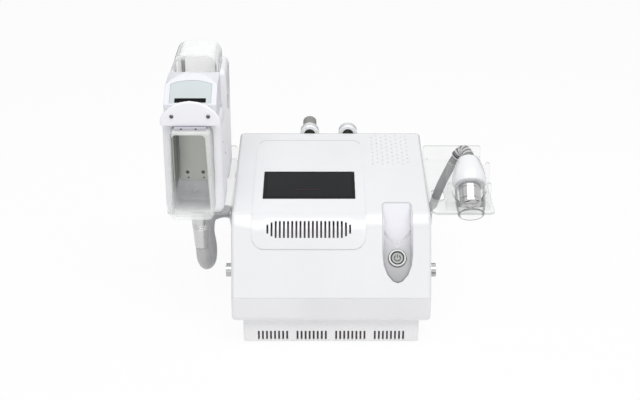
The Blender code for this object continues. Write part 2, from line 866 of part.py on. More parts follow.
def fascia_profile(lift):
    """The fascia's face, lifted off the casing: its back end, two creases and front end."""
    low_depth = FRONT_RUN - FASCIA_DROP / FRONT_SLOPE
    path = [
        Vector((BODY_DEPTH - FASCIA_TOP_BACK, top_z(BODY_DEPTH - FASCIA_TOP_BACK))),
        Vector((CREASE_HIGH_DEPTH, CREASE_HIGH_Z)),
        Vector((FRONT_RUN, CREASE_LOW_Z)),
        Vector((low_depth, CREASE_LOW_Z - FASCIA_DROP)),
    ]
    lifted = []
    for i, here in enumerate(path):
        first = (here - path[max(i - 1, 0)]) if i else path[1] - here
        second = (path[min(i + 1, len(path) - 1)] - here) if i < len(path) - 1 else first
        first.normalize()
        second.normalize()
        normal = Vector((first.y + second.y, -first.x - second.x))
        normal.normalize()
        lean = normal.dot(Vector((first.y, -first.x)))
        lifted.append(here + normal * (lift / lean))
    return lifted


def make_fascia():
    inner = fascia_profile(CLEARANCE)
    outer = fascia_profile(CLEARANCE + FASCIA_PROUD)
    outline = [tuple(p) for p in inner] + [tuple(p) for p in reversed(outer)]
    fascia = side_slab("display_fascia", outline, FASCIA_WIDTH, FASCIA_X)
    view = math.radians(FASCIA_VIEW_DEGREES)
    across = Vector((1, 0, 0))
    out = Vector((0, -math.cos(view), math.sin(view)))
    up = out.cross(across)
    turn = Matrix((across, up, out)).transposed()
    ends = [place(FASCIA_X, p.x, p.y) for p in (outer[0], outer[-1])]
    high, low = (p.dot(up) for p in ends)
    origin = place(FASCIA_X, CREASE_HIGH_DEPTH, CREASE_HIGH_Z)
    base = origin.dot(up)
    half = FASCIA_WIDTH / 2
    frame = rounded(-half, low - base, half, high - base, FASCIA_CORNER, 5)
    combine(fascia, slab("fascia_outline", frame, BODY_DEPTH, origin, turn), "INTERSECT")
    cut(fascia, screen_solid("fascia_window", CLEARANCE, 2 * OVERRUN))
    cut(fascia, vent_cuts("fascia_vents"))
    white_plastic(fascia)


def screen_solid(name, margin, thickness, lift=0.0):
    """The screen's rounded outline on the top panel."""
    middle = SCREEN_FRONT + SCREEN_LENGTH / 2
    turn = Matrix.Rotation(math.atan(TOP_SLOPE), 3, "X")
    half = SCREEN_WIDTH / 2 + margin
    half_length = SCREEN_LENGTH / 2 + margin
    outline = rounded(-half, -half_length, half, half_length, SCREEN_ROUND)
    centre = place(FASCIA_X, middle, top_z(middle)) + turn @ Vector((0, 0, lift))
    return slab(name, outline, thickness, centre, turn)


def make_display():
    """The touch screen: its glass rests on the casing and its module hangs in the opening."""
    lift = CLEARANCE + FASCIA_PROUD / 2
    glass = screen_solid("touch_screen", 0, FASCIA_PROUD, lift)
    middle = SCREEN_FRONT + SCREEN_LENGTH / 2
    turn = Matrix.Rotation(math.atan(TOP_SLOPE), 3, "X")
    drop = Vector((0, 0, lift - DISPLAY_THICK / 2))
    margin = DISPLAY_MARGIN + CLEARANCE
    size = Vector((SCREEN_WIDTH - 2 * margin, SCREEN_LENGTH - 2 * margin, DISPLAY_THICK))
    centre = place(FASCIA_X, middle, top_z(middle)) + turn @ drop
    unite(glass, turned_block("display_module", centre, turn, size))
    paint(glass, (0.012, 0.012, 0.014), 0.12)


def make_power_panel():
    """The recess's tub with its raised facet, and the ring switch with its button."""
    panel = recess_slab("power_panel", CLEARANCE, -RECESS_FLOOR, 2 * OVERRUN)
    cut(panel, recess_slab("recess_well", CLEARANCE + RECESS_WALL, 0, 3 * OVERRUN))
    half = RECESS_WIDTH / 2
    top = RECESS_LENGTH
    facet = [(0, FACET_LOW), (half, FACET_HIGH), (half, top), (-half, top), (-half, FACET_HIGH)]
    thickness = FACET_THICK + RECESS_FLOOR / 2
    centre = RECESS_LOW + RECESS_OUT * (FACET_THICK - thickness / 2)
    pad = slab("recess_facet", facet, thickness, centre, RECESS_TURN)
    outline = recess_slab("facet_outline", CLEARANCE + RECESS_WALL / 2, -RECESS_FLOOR, OVERRUN)
    combine(pad, outline, "INTERSECT")
    unite(panel, pad)
    skin = side_slab("recess_skin", inset(case_profile(), CLEARANCE), BODY_WIDTH - 2 * CASE_ROUND)
    combine(panel, skin, "INTERSECT")
    hub = RECESS_LOW + RECESS_UP * SWITCH_UP
    start = hub - RECESS_OUT * OVERRUN
    cut(panel, rod("switch_hole", start, RECESS_OUT, SWITCH_BARREL_RADIUS + CLEARANCE, 2 * OVERRUN))
    white_plastic(panel)

    floor = hub + RECESS_OUT * CLEARANCE
    ring = SWITCH_RING_HEIGHT
    bore = ring - SWITCH_BORE_DEPTH
    body = lathe(
        "power_switch_body",
        floor,
        RECESS_OUT,
        [
            (0, bore),
            (SWITCH_BORE_RADIUS, bore),
            (SWITCH_BORE_RADIUS, ring),
            (SWITCH_RING_RADIUS - ring / 3, ring),
            (SWITCH_RING_RADIUS, ring / 2),
            (SWITCH_RING_RADIUS, 0),
            (SWITCH_BARREL_RADIUS, 0),
            (SWITCH_BARREL_RADIUS, -SWITCH_BARREL_LENGTH),
            (0, -SWITCH_BARREL_LENGTH),
        ],
    )
    steel(body)
    travel_room = BUTTON_TRAVEL + CLEARANCE
    button = lathe(
        "power_button",
        floor,
        RECESS_OUT,
        [
            (0, ring - BUTTON_SINK),
            (SWITCH_BORE_RADIUS - BUTTON_GAP - BUTTON_SINK, ring - BUTTON_SINK),
            (SWITCH_BORE_RADIUS - BUTTON_GAP, ring - 2 * BUTTON_SINK),
            (SWITCH_BORE_RADIUS - BUTTON_GAP, bore + travel_room),
            (0, bore + travel_room),
        ],
    )
    steel(button)


def knurled(radius, tooth, teeth):
    """A toothed outline for a knurled grip."""
    points = []
    for i in range(2 * teeth):
        angle = math.pi * i / teeth
        reach = radius if i % 2 else radius - tooth
        points.append((reach * math.cos(angle), reach * math.sin(angle)))
    return points


def make_side_knobs():
    """A knurled knob on each side, whose shaft turns in the casing's wall."""
    for side, name in ((-1, "left"), (1, "right")):
        out = Vector((side, 0, 0))
        wall = place(side * (HALF_BODY + KNOB_STANDOFF), KNOB_DEPTH, KNOB_Z)
        centre = wall + out * (KNOB_LENGTH / 2)
        outline = knurled(KNOB_RADIUS, KNOB_TOOTH, KNOB_TEETH)
        knob = slab(f"{name}_side_knob", outline, KNOB_LENGTH, centre, toward(out))
        inside = KNOB_STANDOFF + WALL + STUD_INSIDE
        start = wall - out * inside
        unite(knob, rod(f"{name}_shaft", start, out, STUD_RADIUS, inside + KNOB_LENGTH / 2, 12))
        collar_start = wall - out * (inside - STUD_FLANGE)
        unite(knob, rod(f"{name}_shaft_collar", collar_start, out, STUD_FLANGE_RADIUS, STUD_FLANGE, 12))
        slot_centre = centre + out * (KNOB_LENGTH / 2)
        slot_size = Vector((KNOB_TOOTH * 3, KNOB_TOOTH * 3, 3 * KNOB_RADIUS))
        cut(knob, turned_block(f"{name}_knob_slot", slot_centre, UPRIGHT, slot_size))
        steel(knob)


# Clear side trays


def tray_screw_rods(name, margin, length):
    """The holes for the screws that hold both trays to the casing."""
    mesh_starts = []
    for depth in (FLANGE_FRONT + FLANGE_SCREW_INSET, FLANGE_FRONT + FLANGE_LENGTH - FLANGE_SCREW_INSET):
        z = TRAY_TOP - TRAY_THICK - FLANGE_SCREW_DROP
        mesh_starts.append(place(-HALF_BODY - length, depth, z))
        mesh_starts.append(place(HALF_BODY - length, depth, z))
    return rods(name, mesh_starts, (1, 0, 0), SCREW_SHANK_RADIUS + margin, 2 * length, 12)


def tray_outline(side):
    inner = HALF_BODY + TRAY_INNER_GAP
    low, high = sorted((side * inner, side * TRAY_REACH))
    return rounded(low, TRAY_FRONT, high, TRAY_FRONT + TRAY_LENGTH, TRAY_CORNER)


def make_trays():
    for side, name in ((-1, "left"), (1, "right")):
        centre_z = TRAY_TOP - TRAY_THICK / 2
        tray = slab(f"{name}_tray", tray_outline(side), TRAY_THICK, place(0, 0, centre_z), UPRIGHT)
        inner = HALF_BODY + TRAY_INNER_GAP
        low, high = sorted((side * inner, side * TRAY_REACH))
        lip_outline = rounded(low, centre_z, high, TRAY_TOP + LIP_HEIGHT, TRAY_CORNER / 2)
        lip_centre = place(0, TRAY_FRONT + TRAY_LENGTH - TRAY_THICK / 2, 0)
        unite(tray, slab(f"{name}_lip", lip_outline, TRAY_THICK, lip_centre, FACING_FRONT))
        start = side * (HALF_BODY + CLEARANCE)
        end = start + side * TRAY_THICK
        flange_low = place(min(start, end), FLANGE_FRONT, TRAY_TOP - TRAY_THICK - FLANGE_HEIGHT)
        flange_high = place(max(start, end), FLANGE_FRONT + FLANGE_LENGTH, TRAY_TOP)
        unite(tray, block(f"{name}_flange", flange_low, flange_high))
        cut(tray, tray_screw_rods(f"{name}_flange_holes", CLEARANCE, OVERRUN))
        if side < 0:
            cut_low = place(COLLAR_X - COLLAR_RADIUS - COLLAR_PASS, TRAY_FRONT - OVERRUN, TRAY_TOP - OVERRUN)
            cut_high = place(COLLAR_X + COLLAR_RADIUS + COLLAR_PASS, COLLAR_DEPTH, TRAY_TOP + OVERRUN)
            cut(tray, block("collar_notch", cut_low, cut_high))
            start = place(COLLAR_X, COLLAR_DEPTH, TRAY_TOP - OVERRUN)
            cut(tray, rod("collar_round", start, (0, 0, 1), COLLAR_RADIUS + COLLAR_PASS, 2 * OVERRUN))
        else:
            half = HOSE_HOLE_LENGTH / 2
            outline = rounded(
                HOSE_HOLE_X - HOSE_HOLE_RADIUS,
                HOSE_HOLE_DEPTH - half,
                HOSE_HOLE_X + HOSE_HOLE_RADIUS,
                HOSE_HOLE_DEPTH + half,
                HOSE_HOLE_RADIUS - WELD,
            )
            cut(tray, slab("hose_hole", outline, 2 * OVERRUN, place(0, 0, TRAY_TOP), UPRIGHT))
        clear_plastic(tray)
        for number in range(TRAY_SCREWS):
            depth = FLANGE_FRONT + FLANGE_SCREW_INSET + number * (FLANGE_LENGTH - 2 * FLANGE_SCREW_INSET)
            x = side * (HALF_BODY + TRAY_THICK + 2 * CLEARANCE)
            start = place(x, depth, TRAY_TOP - TRAY_THICK - FLANGE_SCREW_DROP)
            steel(screw(f"{name}_tray_screw_{number + 1}", start, (side, 0, 0), WALL + TRAY_THICK))


def screw(name, start, axis, shank):
    """A pan-head screw: its head stands outside the start and its shank behind it."""
    profile = [
        (0, SCREW_HEAD),
        (SCREW_RADIUS * 0.6, SCREW_HEAD),
        (SCREW_RADIUS, SCREW_HEAD / 2),
        (SCREW_RADIUS, 0),
        (SCREW_SHANK_RADIUS, 0),
        (SCREW_SHANK_RADIUS, -shank),
        (0, -shank),
    ]
    return lathe(name, start, axis, profile, 16)


# Vacuum cooling handpieces


def grip_box(name, width, start, end, low, high, rounding=0.0):
    """A box centred on the handpieces' own middle plane."""
    return block(
        name,
        place(GRIP_X - width / 2, start, low),
        place(GRIP_X + width / 2, end, high),
        rounding,
        3,
    )


def make_cup(name, width, mouth, low):
    """A clear tub that opens to the front, with rounded upright and level edges."""
    high = low + CUP_HEIGHT
    cup = slab(
        name,
        rounded(-width / 2, low, width / 2, high, CUP_ROUND),
        CUP_LENGTH,
        place(GRIP_X, mouth + CUP_LENGTH / 2, 0),
        FACING_FRONT,
    )
    inner = rounded(
        -width / 2 + CUP_WALL, low + CUP_WALL, width / 2 - CUP_WALL, high - CUP_WALL, CUP_ROUND - CUP_WALL
    )
    centre = place(GRIP_X, mouth + (CUP_LENGTH - CUP_WALL) / 2 - OVERRUN / 2, 0)
    cut(cup, slab(f"{name}_hollow", inner, CUP_LENGTH - CUP_WALL + OVERRUN, centre, FACING_FRONT))
    clear_plastic(cup)


def make_shell(name, start, high, cup_width, mouth, cup_low):
    """A handpiece's white shell, with a seat cut through it for the cup."""
    low = FRONT_FLOOR
    end = start + SHELL_LENGTH
    shell = grip_box(name, GRIP_WIDTH, start, end, low, high, GRIP_ROUND)
    hollow = grip_box(
        f"{name}_hollow",
        GRIP_WIDTH - 2 * WALL,
        start + WALL,
        end - WALL,
        low + WALL,
        high - WALL,
        GRIP_ROUND - WALL,
    )
    cut(shell, hollow)
    margin = CLEARANCE
    half = cup_width / 2 + margin
    seat = rounded(-half, cup_low - margin, half, cup_low + CUP_HEIGHT + margin, CUP_ROUND + margin)
    length = CUP_LENGTH + OVERRUN + CLEARANCE
    centre = place(GRIP_X, mouth - OVERRUN + length / 2, 0)
    cut(shell, slab(f"{name}_seat", seat, length, centre, FACING_FRONT))
    return shell


def make_plates(prefix, cup_width, mouth, cup_low, shell_top):
    """The cold plates on the cup's side walls and its back wall, and the block behind it."""
    back = mouth + CUP_LENGTH - CUP_WALL
    inner = cup_width / 2 - CUP_WALL - CLEARANCE
    top = cup_low + CUP_HEIGHT - CUP_WALL - PLATE_HEADROOM
    rear = back - PLATE_THICK - 2 * CLEARANCE
    for side, name in ((-1, "left"), (1, "right")):
        low_x, high_x = sorted((side * inner, side * (inner - PLATE_THICK)))
        plate = block(
            f"{prefix}_{name}_cold_plate",
            place(GRIP_X + low_x, rear - SIDE_PLATE_LENGTH, top - SIDE_PLATE_HEIGHT),
            place(GRIP_X + high_x, rear, top),
        )
        steel(plate)
    plate = grip_box(
        f"{prefix}_back_plate", BACK_PLATE_WIDTH, back - CLEARANCE - PLATE_THICK, back - CLEARANCE,
        top - BACK_PLATE_HEIGHT, top,
    )
    steel(plate)
    start = mouth + CUP_LENGTH + CLEARANCE
    middle = min(cup_low + CUP_HEIGHT / 2, shell_top - WALL - GRIP_ROUND - BLOCK_HEIGHT / 2)
    thermo = grip_box(
        f"{prefix}_thermo_block", BLOCK_WIDTH, start, start + BLOCK_LENGTH,
        middle - BLOCK_HEIGHT / 2, middle + BLOCK_HEIGHT / 2, CUP_WALL,
    )
    paint(thermo, (0.7, 0.7, 0.72), 0.4, 1.0)


FRONT_FLOOR = TRAY_TOP + CLEARANCE
FRONT_SHELL_TOP = FRONT_FLOOR + FRONT_SHELL_HEIGHT
FRONT_CUP_LOW = FRONT_FLOOR + FRONT_CUP_RISE
FRONT_CUP_TOP = FRONT_CUP_LOW + CUP_HEIGHT
FRONT_MOUTH = FRONT_SHELL_START - CUP_SHOWS


def make_front_handpiece():
    make_cup("front_cup", CUP_WIDTH, FRONT_MOUTH, FRONT_CUP_LOW)
    make_plates("front", CUP_WIDTH, FRONT_MOUTH, FRONT_CUP_LOW, FRONT_SHELL_TOP)
    shell = make_shell(
        "front_shell",
        FRONT_SHELL_START,
        FRONT_SHELL_TOP,
        CUP_WIDTH,
        FRONT_MOUTH,
        FRONT_CUP_LOW,
    )
    start = place(COLLAR_X, COLLAR_DEPTH, FRONT_FLOOR - OVERRUN)
    cut(shell, rod("collar_hole", start, (0, 0, 1), COLLAR_STUB_RADIUS + CLEARANCE, 2 * OVERRUN))
    white_plastic(shell)
    make_head()
    make_collar()


def arch_outline(half, height, drop):
    """A flat base under a round arc that drops towards its two ends."""
    radius = (half**2 + drop**2) / (2 * drop)
    spread = math.asin(half / radius)
    arc = []
    for step in range(ARCH_STEPS + 1):
        angle = spread * (1 - 2 * step / ARCH_STEPS)
        arc.append((radius * math.sin(angle), height - radius + radius * math.cos(angle)))
    return [(-half, 0), (half, 0)] + arc


def crowned_head(name, outline, base, margin):
    """The head's side outline across its width, under a crown that is round from the front."""
    half = HEAD_WIDTH / 2 - margin
    body = side_slab(name, inset(outline, margin) if margin else outline, 2 * half, GRIP_X)
    crown = arch_outline(half, HEAD_TOP_HEIGHT - margin, HEAD_CROWN)
    centre = place(GRIP_X, HEAD_START + HEAD_LENGTH / 2, base)
    combine(body, slab(f"{name}_crown", crown, HEAD_LENGTH + OVERRUN, centre, FACING_FRONT), "INTERSECT")
    return body


def make_head():
    """The neck, the curved cover with its screws, and the head with its glossy panel."""
    base = FRONT_SHELL_TOP + CLEARANCE
    neck_end = FRONT_SHELL_START - CLEARANCE
    neck = grip_box("front_neck", NECK_WIDTH, NECK_FRONT, neck_end, FRONT_CUP_TOP + CLEARANCE, base)
    paint(neck, (0.3, 0.3, 0.32), 0.5)

    cover_base = base + CLEARANCE
    arch = arch_outline(GRIP_WIDTH / 2, ARCH_HEIGHT, ARCH_HEIGHT - ARCH_END_HEIGHT)
    centre = place(GRIP_X, ARCH_FRONT + ARCH_THICK / 2, cover_base)
    cover = slab("front_arch", arch, ARCH_THICK, centre, FACING_FRONT)
    round_edges(cover, ARCH_ROUND)
    screw_start = ARCH_FRONT - CLEARANCE
    screw_xs = (GRIP_X - ARCH_SCREW_X, GRIP_X + ARCH_SCREW_X)
    starts = [place(x, screw_start, cover_base + ARCH_SCREW_UP) for x in screw_xs]
    shanks = [start + Vector((0, -OVERRUN, 0)) for start in starts]
    cut(cover, rods("arch_screw_holes", shanks, (0, 1, 0), SCREW_SHANK_RADIUS + CLEARANCE, 3 * OVERRUN, 12))
    white_plastic(cover)

    low_front = (HEAD_START, cover_base)
    slope_start = (HEAD_START, cover_base + HEAD_FRONT_HEIGHT)
    slope_end = (HEAD_START + HEAD_SLOPE_RUN, cover_base + HEAD_TOP_HEIGHT)
    back = HEAD_START + HEAD_LENGTH
    outline = [
        low_front,
        (back, cover_base),
        (back, cover_base + HEAD_TOP_HEIGHT - HEAD_BACK_DROP),
        slope_end,
        slope_start,
    ]
    head = crowned_head("front_head", outline, cover_base, 0)
    round_edges(head, HEAD_ROUND, 3)
    cut(head, crowned_head("head_hollow", outline, cover_base, WALL + POCKET_DEPTH))
    vent_low = place(GRIP_X - NECK_WIDTH / 4, HEAD_START + HEAD_LENGTH / 2, cover_base - OVERRUN)
    vent_high = place(GRIP_X + NECK_WIDTH / 4, back - 2 * WALL - POCKET_DEPTH, cover_base + OVERRUN)
    cut(head, block("head_wire_hole", vent_low, vent_high))
    cut(head, rods("head_screw_holes", shanks, (0, 1, 0), SCREW_SHANK_RADIUS + CLEARANCE, 3 * OVERRUN, 12))
    slope = Vector((slope_end[0] - slope_start[0], slope_end[1] - slope_start[1]))
    lean = math.atan2(slope.y, slope.x)
    turn = Matrix.Rotation(lean, 3, "X")
    corner = place(GRIP_X, *slope_start)

    def on_slope(name, width, start, length, thickness, sink, margin=0.0):
        centre = corner + turn @ Vector((0, start + length / 2, -sink - thickness / 2))
        half_width = width / 2 + margin
        half_length = length / 2 + margin
        shape = arch_outline(half_width, 2 * half_length, WINDOW_CROWN)
        return slab(name, [(x, y - half_length) for x, y in shape], thickness, centre, turn)

    over = 2 * OVERRUN
    rise = POCKET_DEPTH - over
    cut(head, on_slope("panel_pocket", WINDOW_WIDTH, WINDOW_START, WINDOW_LENGTH, over, rise, CLEARANCE))
    white_plastic(head)
    sink = POCKET_DEPTH - CLEARANCE - WINDOW_THICK
    window = on_slope("handpiece_panel", WINDOW_WIDTH, WINDOW_START, WINDOW_LENGTH, WINDOW_THICK, sink)
    paint(window, (0.55, 0.6, 0.6), 0.1)
    for start, side in zip(starts, ("left", "right")):
        paint(screw(f"arch_{side}_screw", start, (0, -1, 0), ARCH_THICK + WALL), (0.12, 0.12, 0.13), 0.4, 1.0)


def make_collar():
    top = FRONT_FLOOR - CLEARANCE
    ring = COLLAR_RING
    profile = [
        (0, COLLAR_STUB),
        (COLLAR_STUB_RADIUS, COLLAR_STUB),
        (COLLAR_STUB_RADIUS, 0),
        (COLLAR_RADIUS, 0),
    ]

    def reach(z):
        return COLLAR_RADIUS + (COLLAR_END_RADIUS - COLLAR_RADIUS) * -z / COLLAR_LENGTH

    for groove in range(3):
        z = -COLLAR_PLAIN - (groove + 1) * 4 * ring
        profile += [
            (reach(z + ring / 2), z + ring / 2),
            (reach(z) - ring, z),
            (reach(z - ring) - ring, z - ring),
            (reach(z - 3 * ring / 2), z - 3 * ring / 2),
        ]
    profile += [(COLLAR_END_RADIUS, -COLLAR_LENGTH), (0, -COLLAR_LENGTH)]
    collar = lathe("hose_collar", place(COLLAR_X, COLLAR_DEPTH, top), (0, 0, 1), profile, 16)
    steel(collar)


def make_rear_handpiece():
    cup_low = FRONT_FLOOR + REAR_CUP_RISE
    mouth = REAR_SHELL_START - CUP_SHOWS / 2
    make_cup("rear_cup", REAR_CUP_WIDTH, mouth, cup_low)
    high = FRONT_FLOOR + REAR_SHELL_HEIGHT
    make_plates("rear", REAR_CUP_WIDTH, mouth, cup_low, high)
    white_plastic(make_shell("rear_shell", REAR_SHELL_START, high, REAR_CUP_WIDTH, mouth, cup_low))


# Small handpiece at the right

WAND_LEAN = math.radians(WAND_LEAN_DEGREES)
WAND_AXIS = Vector((0, math.cos(WAND_LEAN), math.sin(WAND_LEAN)))
WAND_MOUTH = place(WAND_X, WAND_MOUTH_DEPTH, WAND_MOUTH_Z)
WAND_TAIL = WAND_CUP_LENGTH + WAND_BODY_LENGTH


def wand_profile(margin=0.0):
    """The white body's radius and place along the handpiece, tail first."""
    start = WAND_CUP_LENGTH + CLEARANCE
    length = WAND_BODY_LENGTH - CLEARANCE
    shares = (
        (1.0, 0.0),
        (0.96, 0.0),
        (1.0, 0.1),
        (0.98, 0.32),
        (0.84, 0.6),
        (0.68, 0.82),
        (0.6, 0.96),
        (0.52, 1.0),
    )
    spread = WAND_BODY_RADIUS - WAND_TAIL_RADIUS
    top_share = shares[-1][0]
    profile = []
    for radius_share, along_share in reversed(shares[1:]):
        radius = WAND_TAIL_RADIUS + spread * (radius_share - top_share) / (1 - top_share)
        profile.append((radius + margin, start + length * along_share))
    return profile


def make_wand():
    body_profile = wand_profile()
    body = lathe(
        "right_body",
        WAND_MOUTH,
        WAND_AXIS,
        [(0, body_profile[0][1]), *body_profile, (0, body_profile[-1][1])],
    )
    pocket = RELIEF_ROOT_RADIUS / 2
    start = WAND_MOUTH + WAND_AXIS * (WAND_TAIL - pocket)
    cut(body, rod("relief_pocket", start, WAND_AXIS, RELIEF_ROOT_RADIUS + CLEARANCE, OVERRUN))
    white_plastic(body)
    cup = lathe(
        "right_cup",
        WAND_MOUTH,
        WAND_AXIS,
        [
            (WAND_HEAD_RADIUS + CLEARANCE, WAND_CUP_LENGTH),
            (WAND_CUP_RADIUS - WAND_CUP_WALL, WAND_CUP_LENGTH),
            (WAND_CUP_RADIUS, WAND_CUP_LENGTH - WAND_CUP_WALL),
            (WAND_CUP_RADIUS, WAND_CUP_LENGTH * 0.35),
            (WAND_MOUTH_RADIUS, 0),
            (WAND_MOUTH_RADIUS - WAND_CUP_WALL, 0),
            (WAND_CUP_RADIUS - WAND_CUP_WALL, WAND_CUP_LENGTH * 0.35),
            (WAND_CUP_RADIUS - WAND_CUP_WALL, WAND_CUP_LENGTH - 2 * WAND_CUP_WALL),
            (WAND_HEAD_RADIUS + CLEARANCE, WAND_CUP_LENGTH - 2 * WAND_CUP_WALL),
            (WAND_HEAD_RADIUS + CLEARANCE, WAND_CUP_LENGTH),
        ],
    )
    clear_plastic(cup)
    tip = WAND_CUP_LENGTH - WAND_HEAD_LENGTH
    head = lathe(
        "right_metal_head",
        WAND_MOUTH,
        WAND_AXIS,
        [
            (0, WAND_CUP_LENGTH),
            (WAND_HEAD_RADIUS, WAND_CUP_LENGTH),
            (WAND_HEAD_RADIUS, tip + WAND_HEAD_DOME),
            (WAND_HEAD_RADIUS - WAND_HEAD_DOME / 3, tip + WAND_HEAD_DOME / 3),
            (WAND_HEAD_RADIUS - WAND_HEAD_DOME, tip),
            (0, tip),
        ],
    )
    steel(head)
    make_cradle()


def relief_points():
    """The bent strain relief's centre line, from inside the tail to the ferrule."""
    start = WAND_MOUTH + WAND_AXIS * (WAND_TAIL - RELIEF_ROOT_RADIUS / 2 + CLEARANCE)
    straight = [start + WAND_AXIS * RELIEF_ROOT_RADIUS * share for share in (0, 0.5, 1)]
    return [*straight, *route(RELIEF_ROUTE)]


def make_relief():
    line, length = smooth_line(relief_points(), RELIEF_RIB * 1.7)
    shares = []
    for i in range(len(line)):
        along = i / (len(line) - 1)
        radius = RELIEF_ROOT_RADIUS + (RELIEF_TIP_RADIUS - RELIEF_ROOT_RADIUS) * along
        ribbed = RELIEF_RIB_SHARES[0] < along < RELIEF_RIB_SHARES[1] and i % 2
        radius -= RELIEF_RIB if ribbed else 0
        shares.append((FERRULE_RADIUS if along > RELIEF_RIB_SHARES[1] else radius) / RELIEF_ROOT_RADIUS)
    relief = tube("right_strain_relief", line, RELIEF_ROOT_RADIUS, 2, shares)
    paint(relief, (0.3, 0.3, 0.31), 0.6)
    along = (line[-1] - line[-2]).normalized()
    return line[-1] + along * CLEARANCE, along


def make_cradle():
    """Two forks on a strip, cut to the leaning handpiece, which lifts straight out of them."""
    half = FORK_WIDTH / 2
    low = place(WAND_X - half, FORK_DEPTHS[0] - FORK_THICK / 2, TRAY_TOP + CLEARANCE)
    high = place(WAND_X + half, FORK_DEPTHS[1] + FORK_THICK / 2, TRAY_TOP + CLEARANCE + FORK_BASE)
    cradle = block("right_cradle", low, high)
    for number, depth in enumerate(FORK_DEPTHS):
        axis_z = WAND_MOUTH_Z + (depth - WAND_MOUTH_DEPTH) * math.tan(WAND_LEAN)
        outline = rounded(
            WAND_X - half, TRAY_TOP + CLEARANCE, WAND_X + half, axis_z + FORK_RISE_OVER_AXIS, FORK_BASE
        )
        unite(cradle, slab(f"fork_{number}", outline, FORK_THICK, place(0, depth, 0), FACING_FRONT))
    profile = wand_profile(FORK_CLEARANCE)
    widest = profile[-2][0]
    seat = [(0, profile[0][1] + OVERRUN), *profile[:-1], (widest, -OVERRUN), (0, -OVERRUN)]
    shape = lathe("cradle_seat", WAND_MOUTH, WAND_AXIS, seat)
    cut(cradle, shape)
    for number, depth in enumerate(FORK_DEPTHS):
        along = (depth - WAND_MOUTH_DEPTH) / math.cos(WAND_LEAN)
        reach = fork_radius(along)
        axis_z = WAND_MOUTH_Z + (depth - WAND_MOUTH_DEPTH) * math.tan(WAND_LEAN)
        low = place(WAND_X - reach, depth - FORK_THICK, axis_z)
        high = place(WAND_X + reach, depth + FORK_THICK, axis_z + 3 * OVERRUN)
        cut(cradle, block(f"fork_mouth_{number}", low, high))
    clear_plastic(cradle)


def fork_radius(along):
    """The widest half opening a fork needs round the body at a place along it."""
    profile = sorted((height, radius) for radius, height in wand_profile(FORK_CLEARANCE))
    near = along - FORK_THICK - WAND_BODY_RADIUS * math.tan(WAND_LEAN)
    best = 0.0
    for (low, first), (high, second) in zip(profile, profile[1:]):
        if high > near:
            best = max(best, first if low >= near else second, second)
    return best


# Rear panel and its fittings


def make_rear_panel():
    half = HALF_BODY - WALL - CLEARANCE
    roof = top_z(PANEL_BACK - PANEL_THICK) - WALL * math.sqrt(1 + TOP_SLOPE**2) - CLEARANCE
    low = place(-half, PANEL_BACK - PANEL_THICK, PAN_FLOOR_Z + CLEARANCE)
    high = place(half, PANEL_BACK, roof)
    panel = block("rear_panel", low, high)
    for ring in range(GUARD_RINGS):
        outer = FAN_BORE_RADIUS - ring * GUARD_RING_GAP
        inner = outer - GUARD_RING_GAP + GUARD_WIRE
        start = place(FAN_X, PANEL_BACK - OVERRUN, FAN_Z)
        profile = [(inner, 2 * OVERRUN), (outer, 2 * OVERRUN), (outer, 0), (inner, 0), (inner, 2 * OVERRUN)]
        cut(panel, lathe(f"guard_ring_{ring}", start, (0, 1, 0), profile, 16))
    arm = GUARD_ARM / 2
    reach = FAN_BORE_RADIUS + GUARD_ARM
    face = PANEL_BACK - PANEL_THICK
    level_low = place(FAN_X - reach, face, FAN_Z - arm)
    unite(panel, block("guard_level", level_low, place(FAN_X + reach, PANEL_BACK, FAN_Z + arm)))
    upright_low = place(FAN_X - arm, face, FAN_Z - reach)
    unite(panel, block("guard_upright", upright_low, place(FAN_X + arm, PANEL_BACK, FAN_Z + reach)))
    cut(panel, rear_box("inlet_hole", INLET_X, INLET_Z, INLET_BODY_WIDTH, INLET_BODY_HEIGHT, CLEARANCE))
    width = ROCKER_WIDTH + 2 * FAN_WALL
    cut(panel, rear_box("rocker_hole", ROCKER_X, INLET_Z, width, ROCKER_HEIGHT + FAN_WALL, CLEARANCE))
    for x, radius in SOCKETS:
        start = place(x, PANEL_BACK - OVERRUN, SOCKET_Z)
        cut(panel, rod("socket_hole", start, (0, 1, 0), radius + 2 * CLEARANCE, 2 * OVERRUN, 20))
    paint(panel, (0.8, 0.8, 0.81), 0.4)


def rear_box(name, x, z, width, height, margin=0.0):
    """A box through the rear panel."""
    return block(
        name,
        place(x - width / 2 - margin, PANEL_BACK - OVERRUN, z - height / 2 - margin),
        place(x + width / 2 + margin, PANEL_BACK + OVERRUN, z + height / 2 + margin),
    )


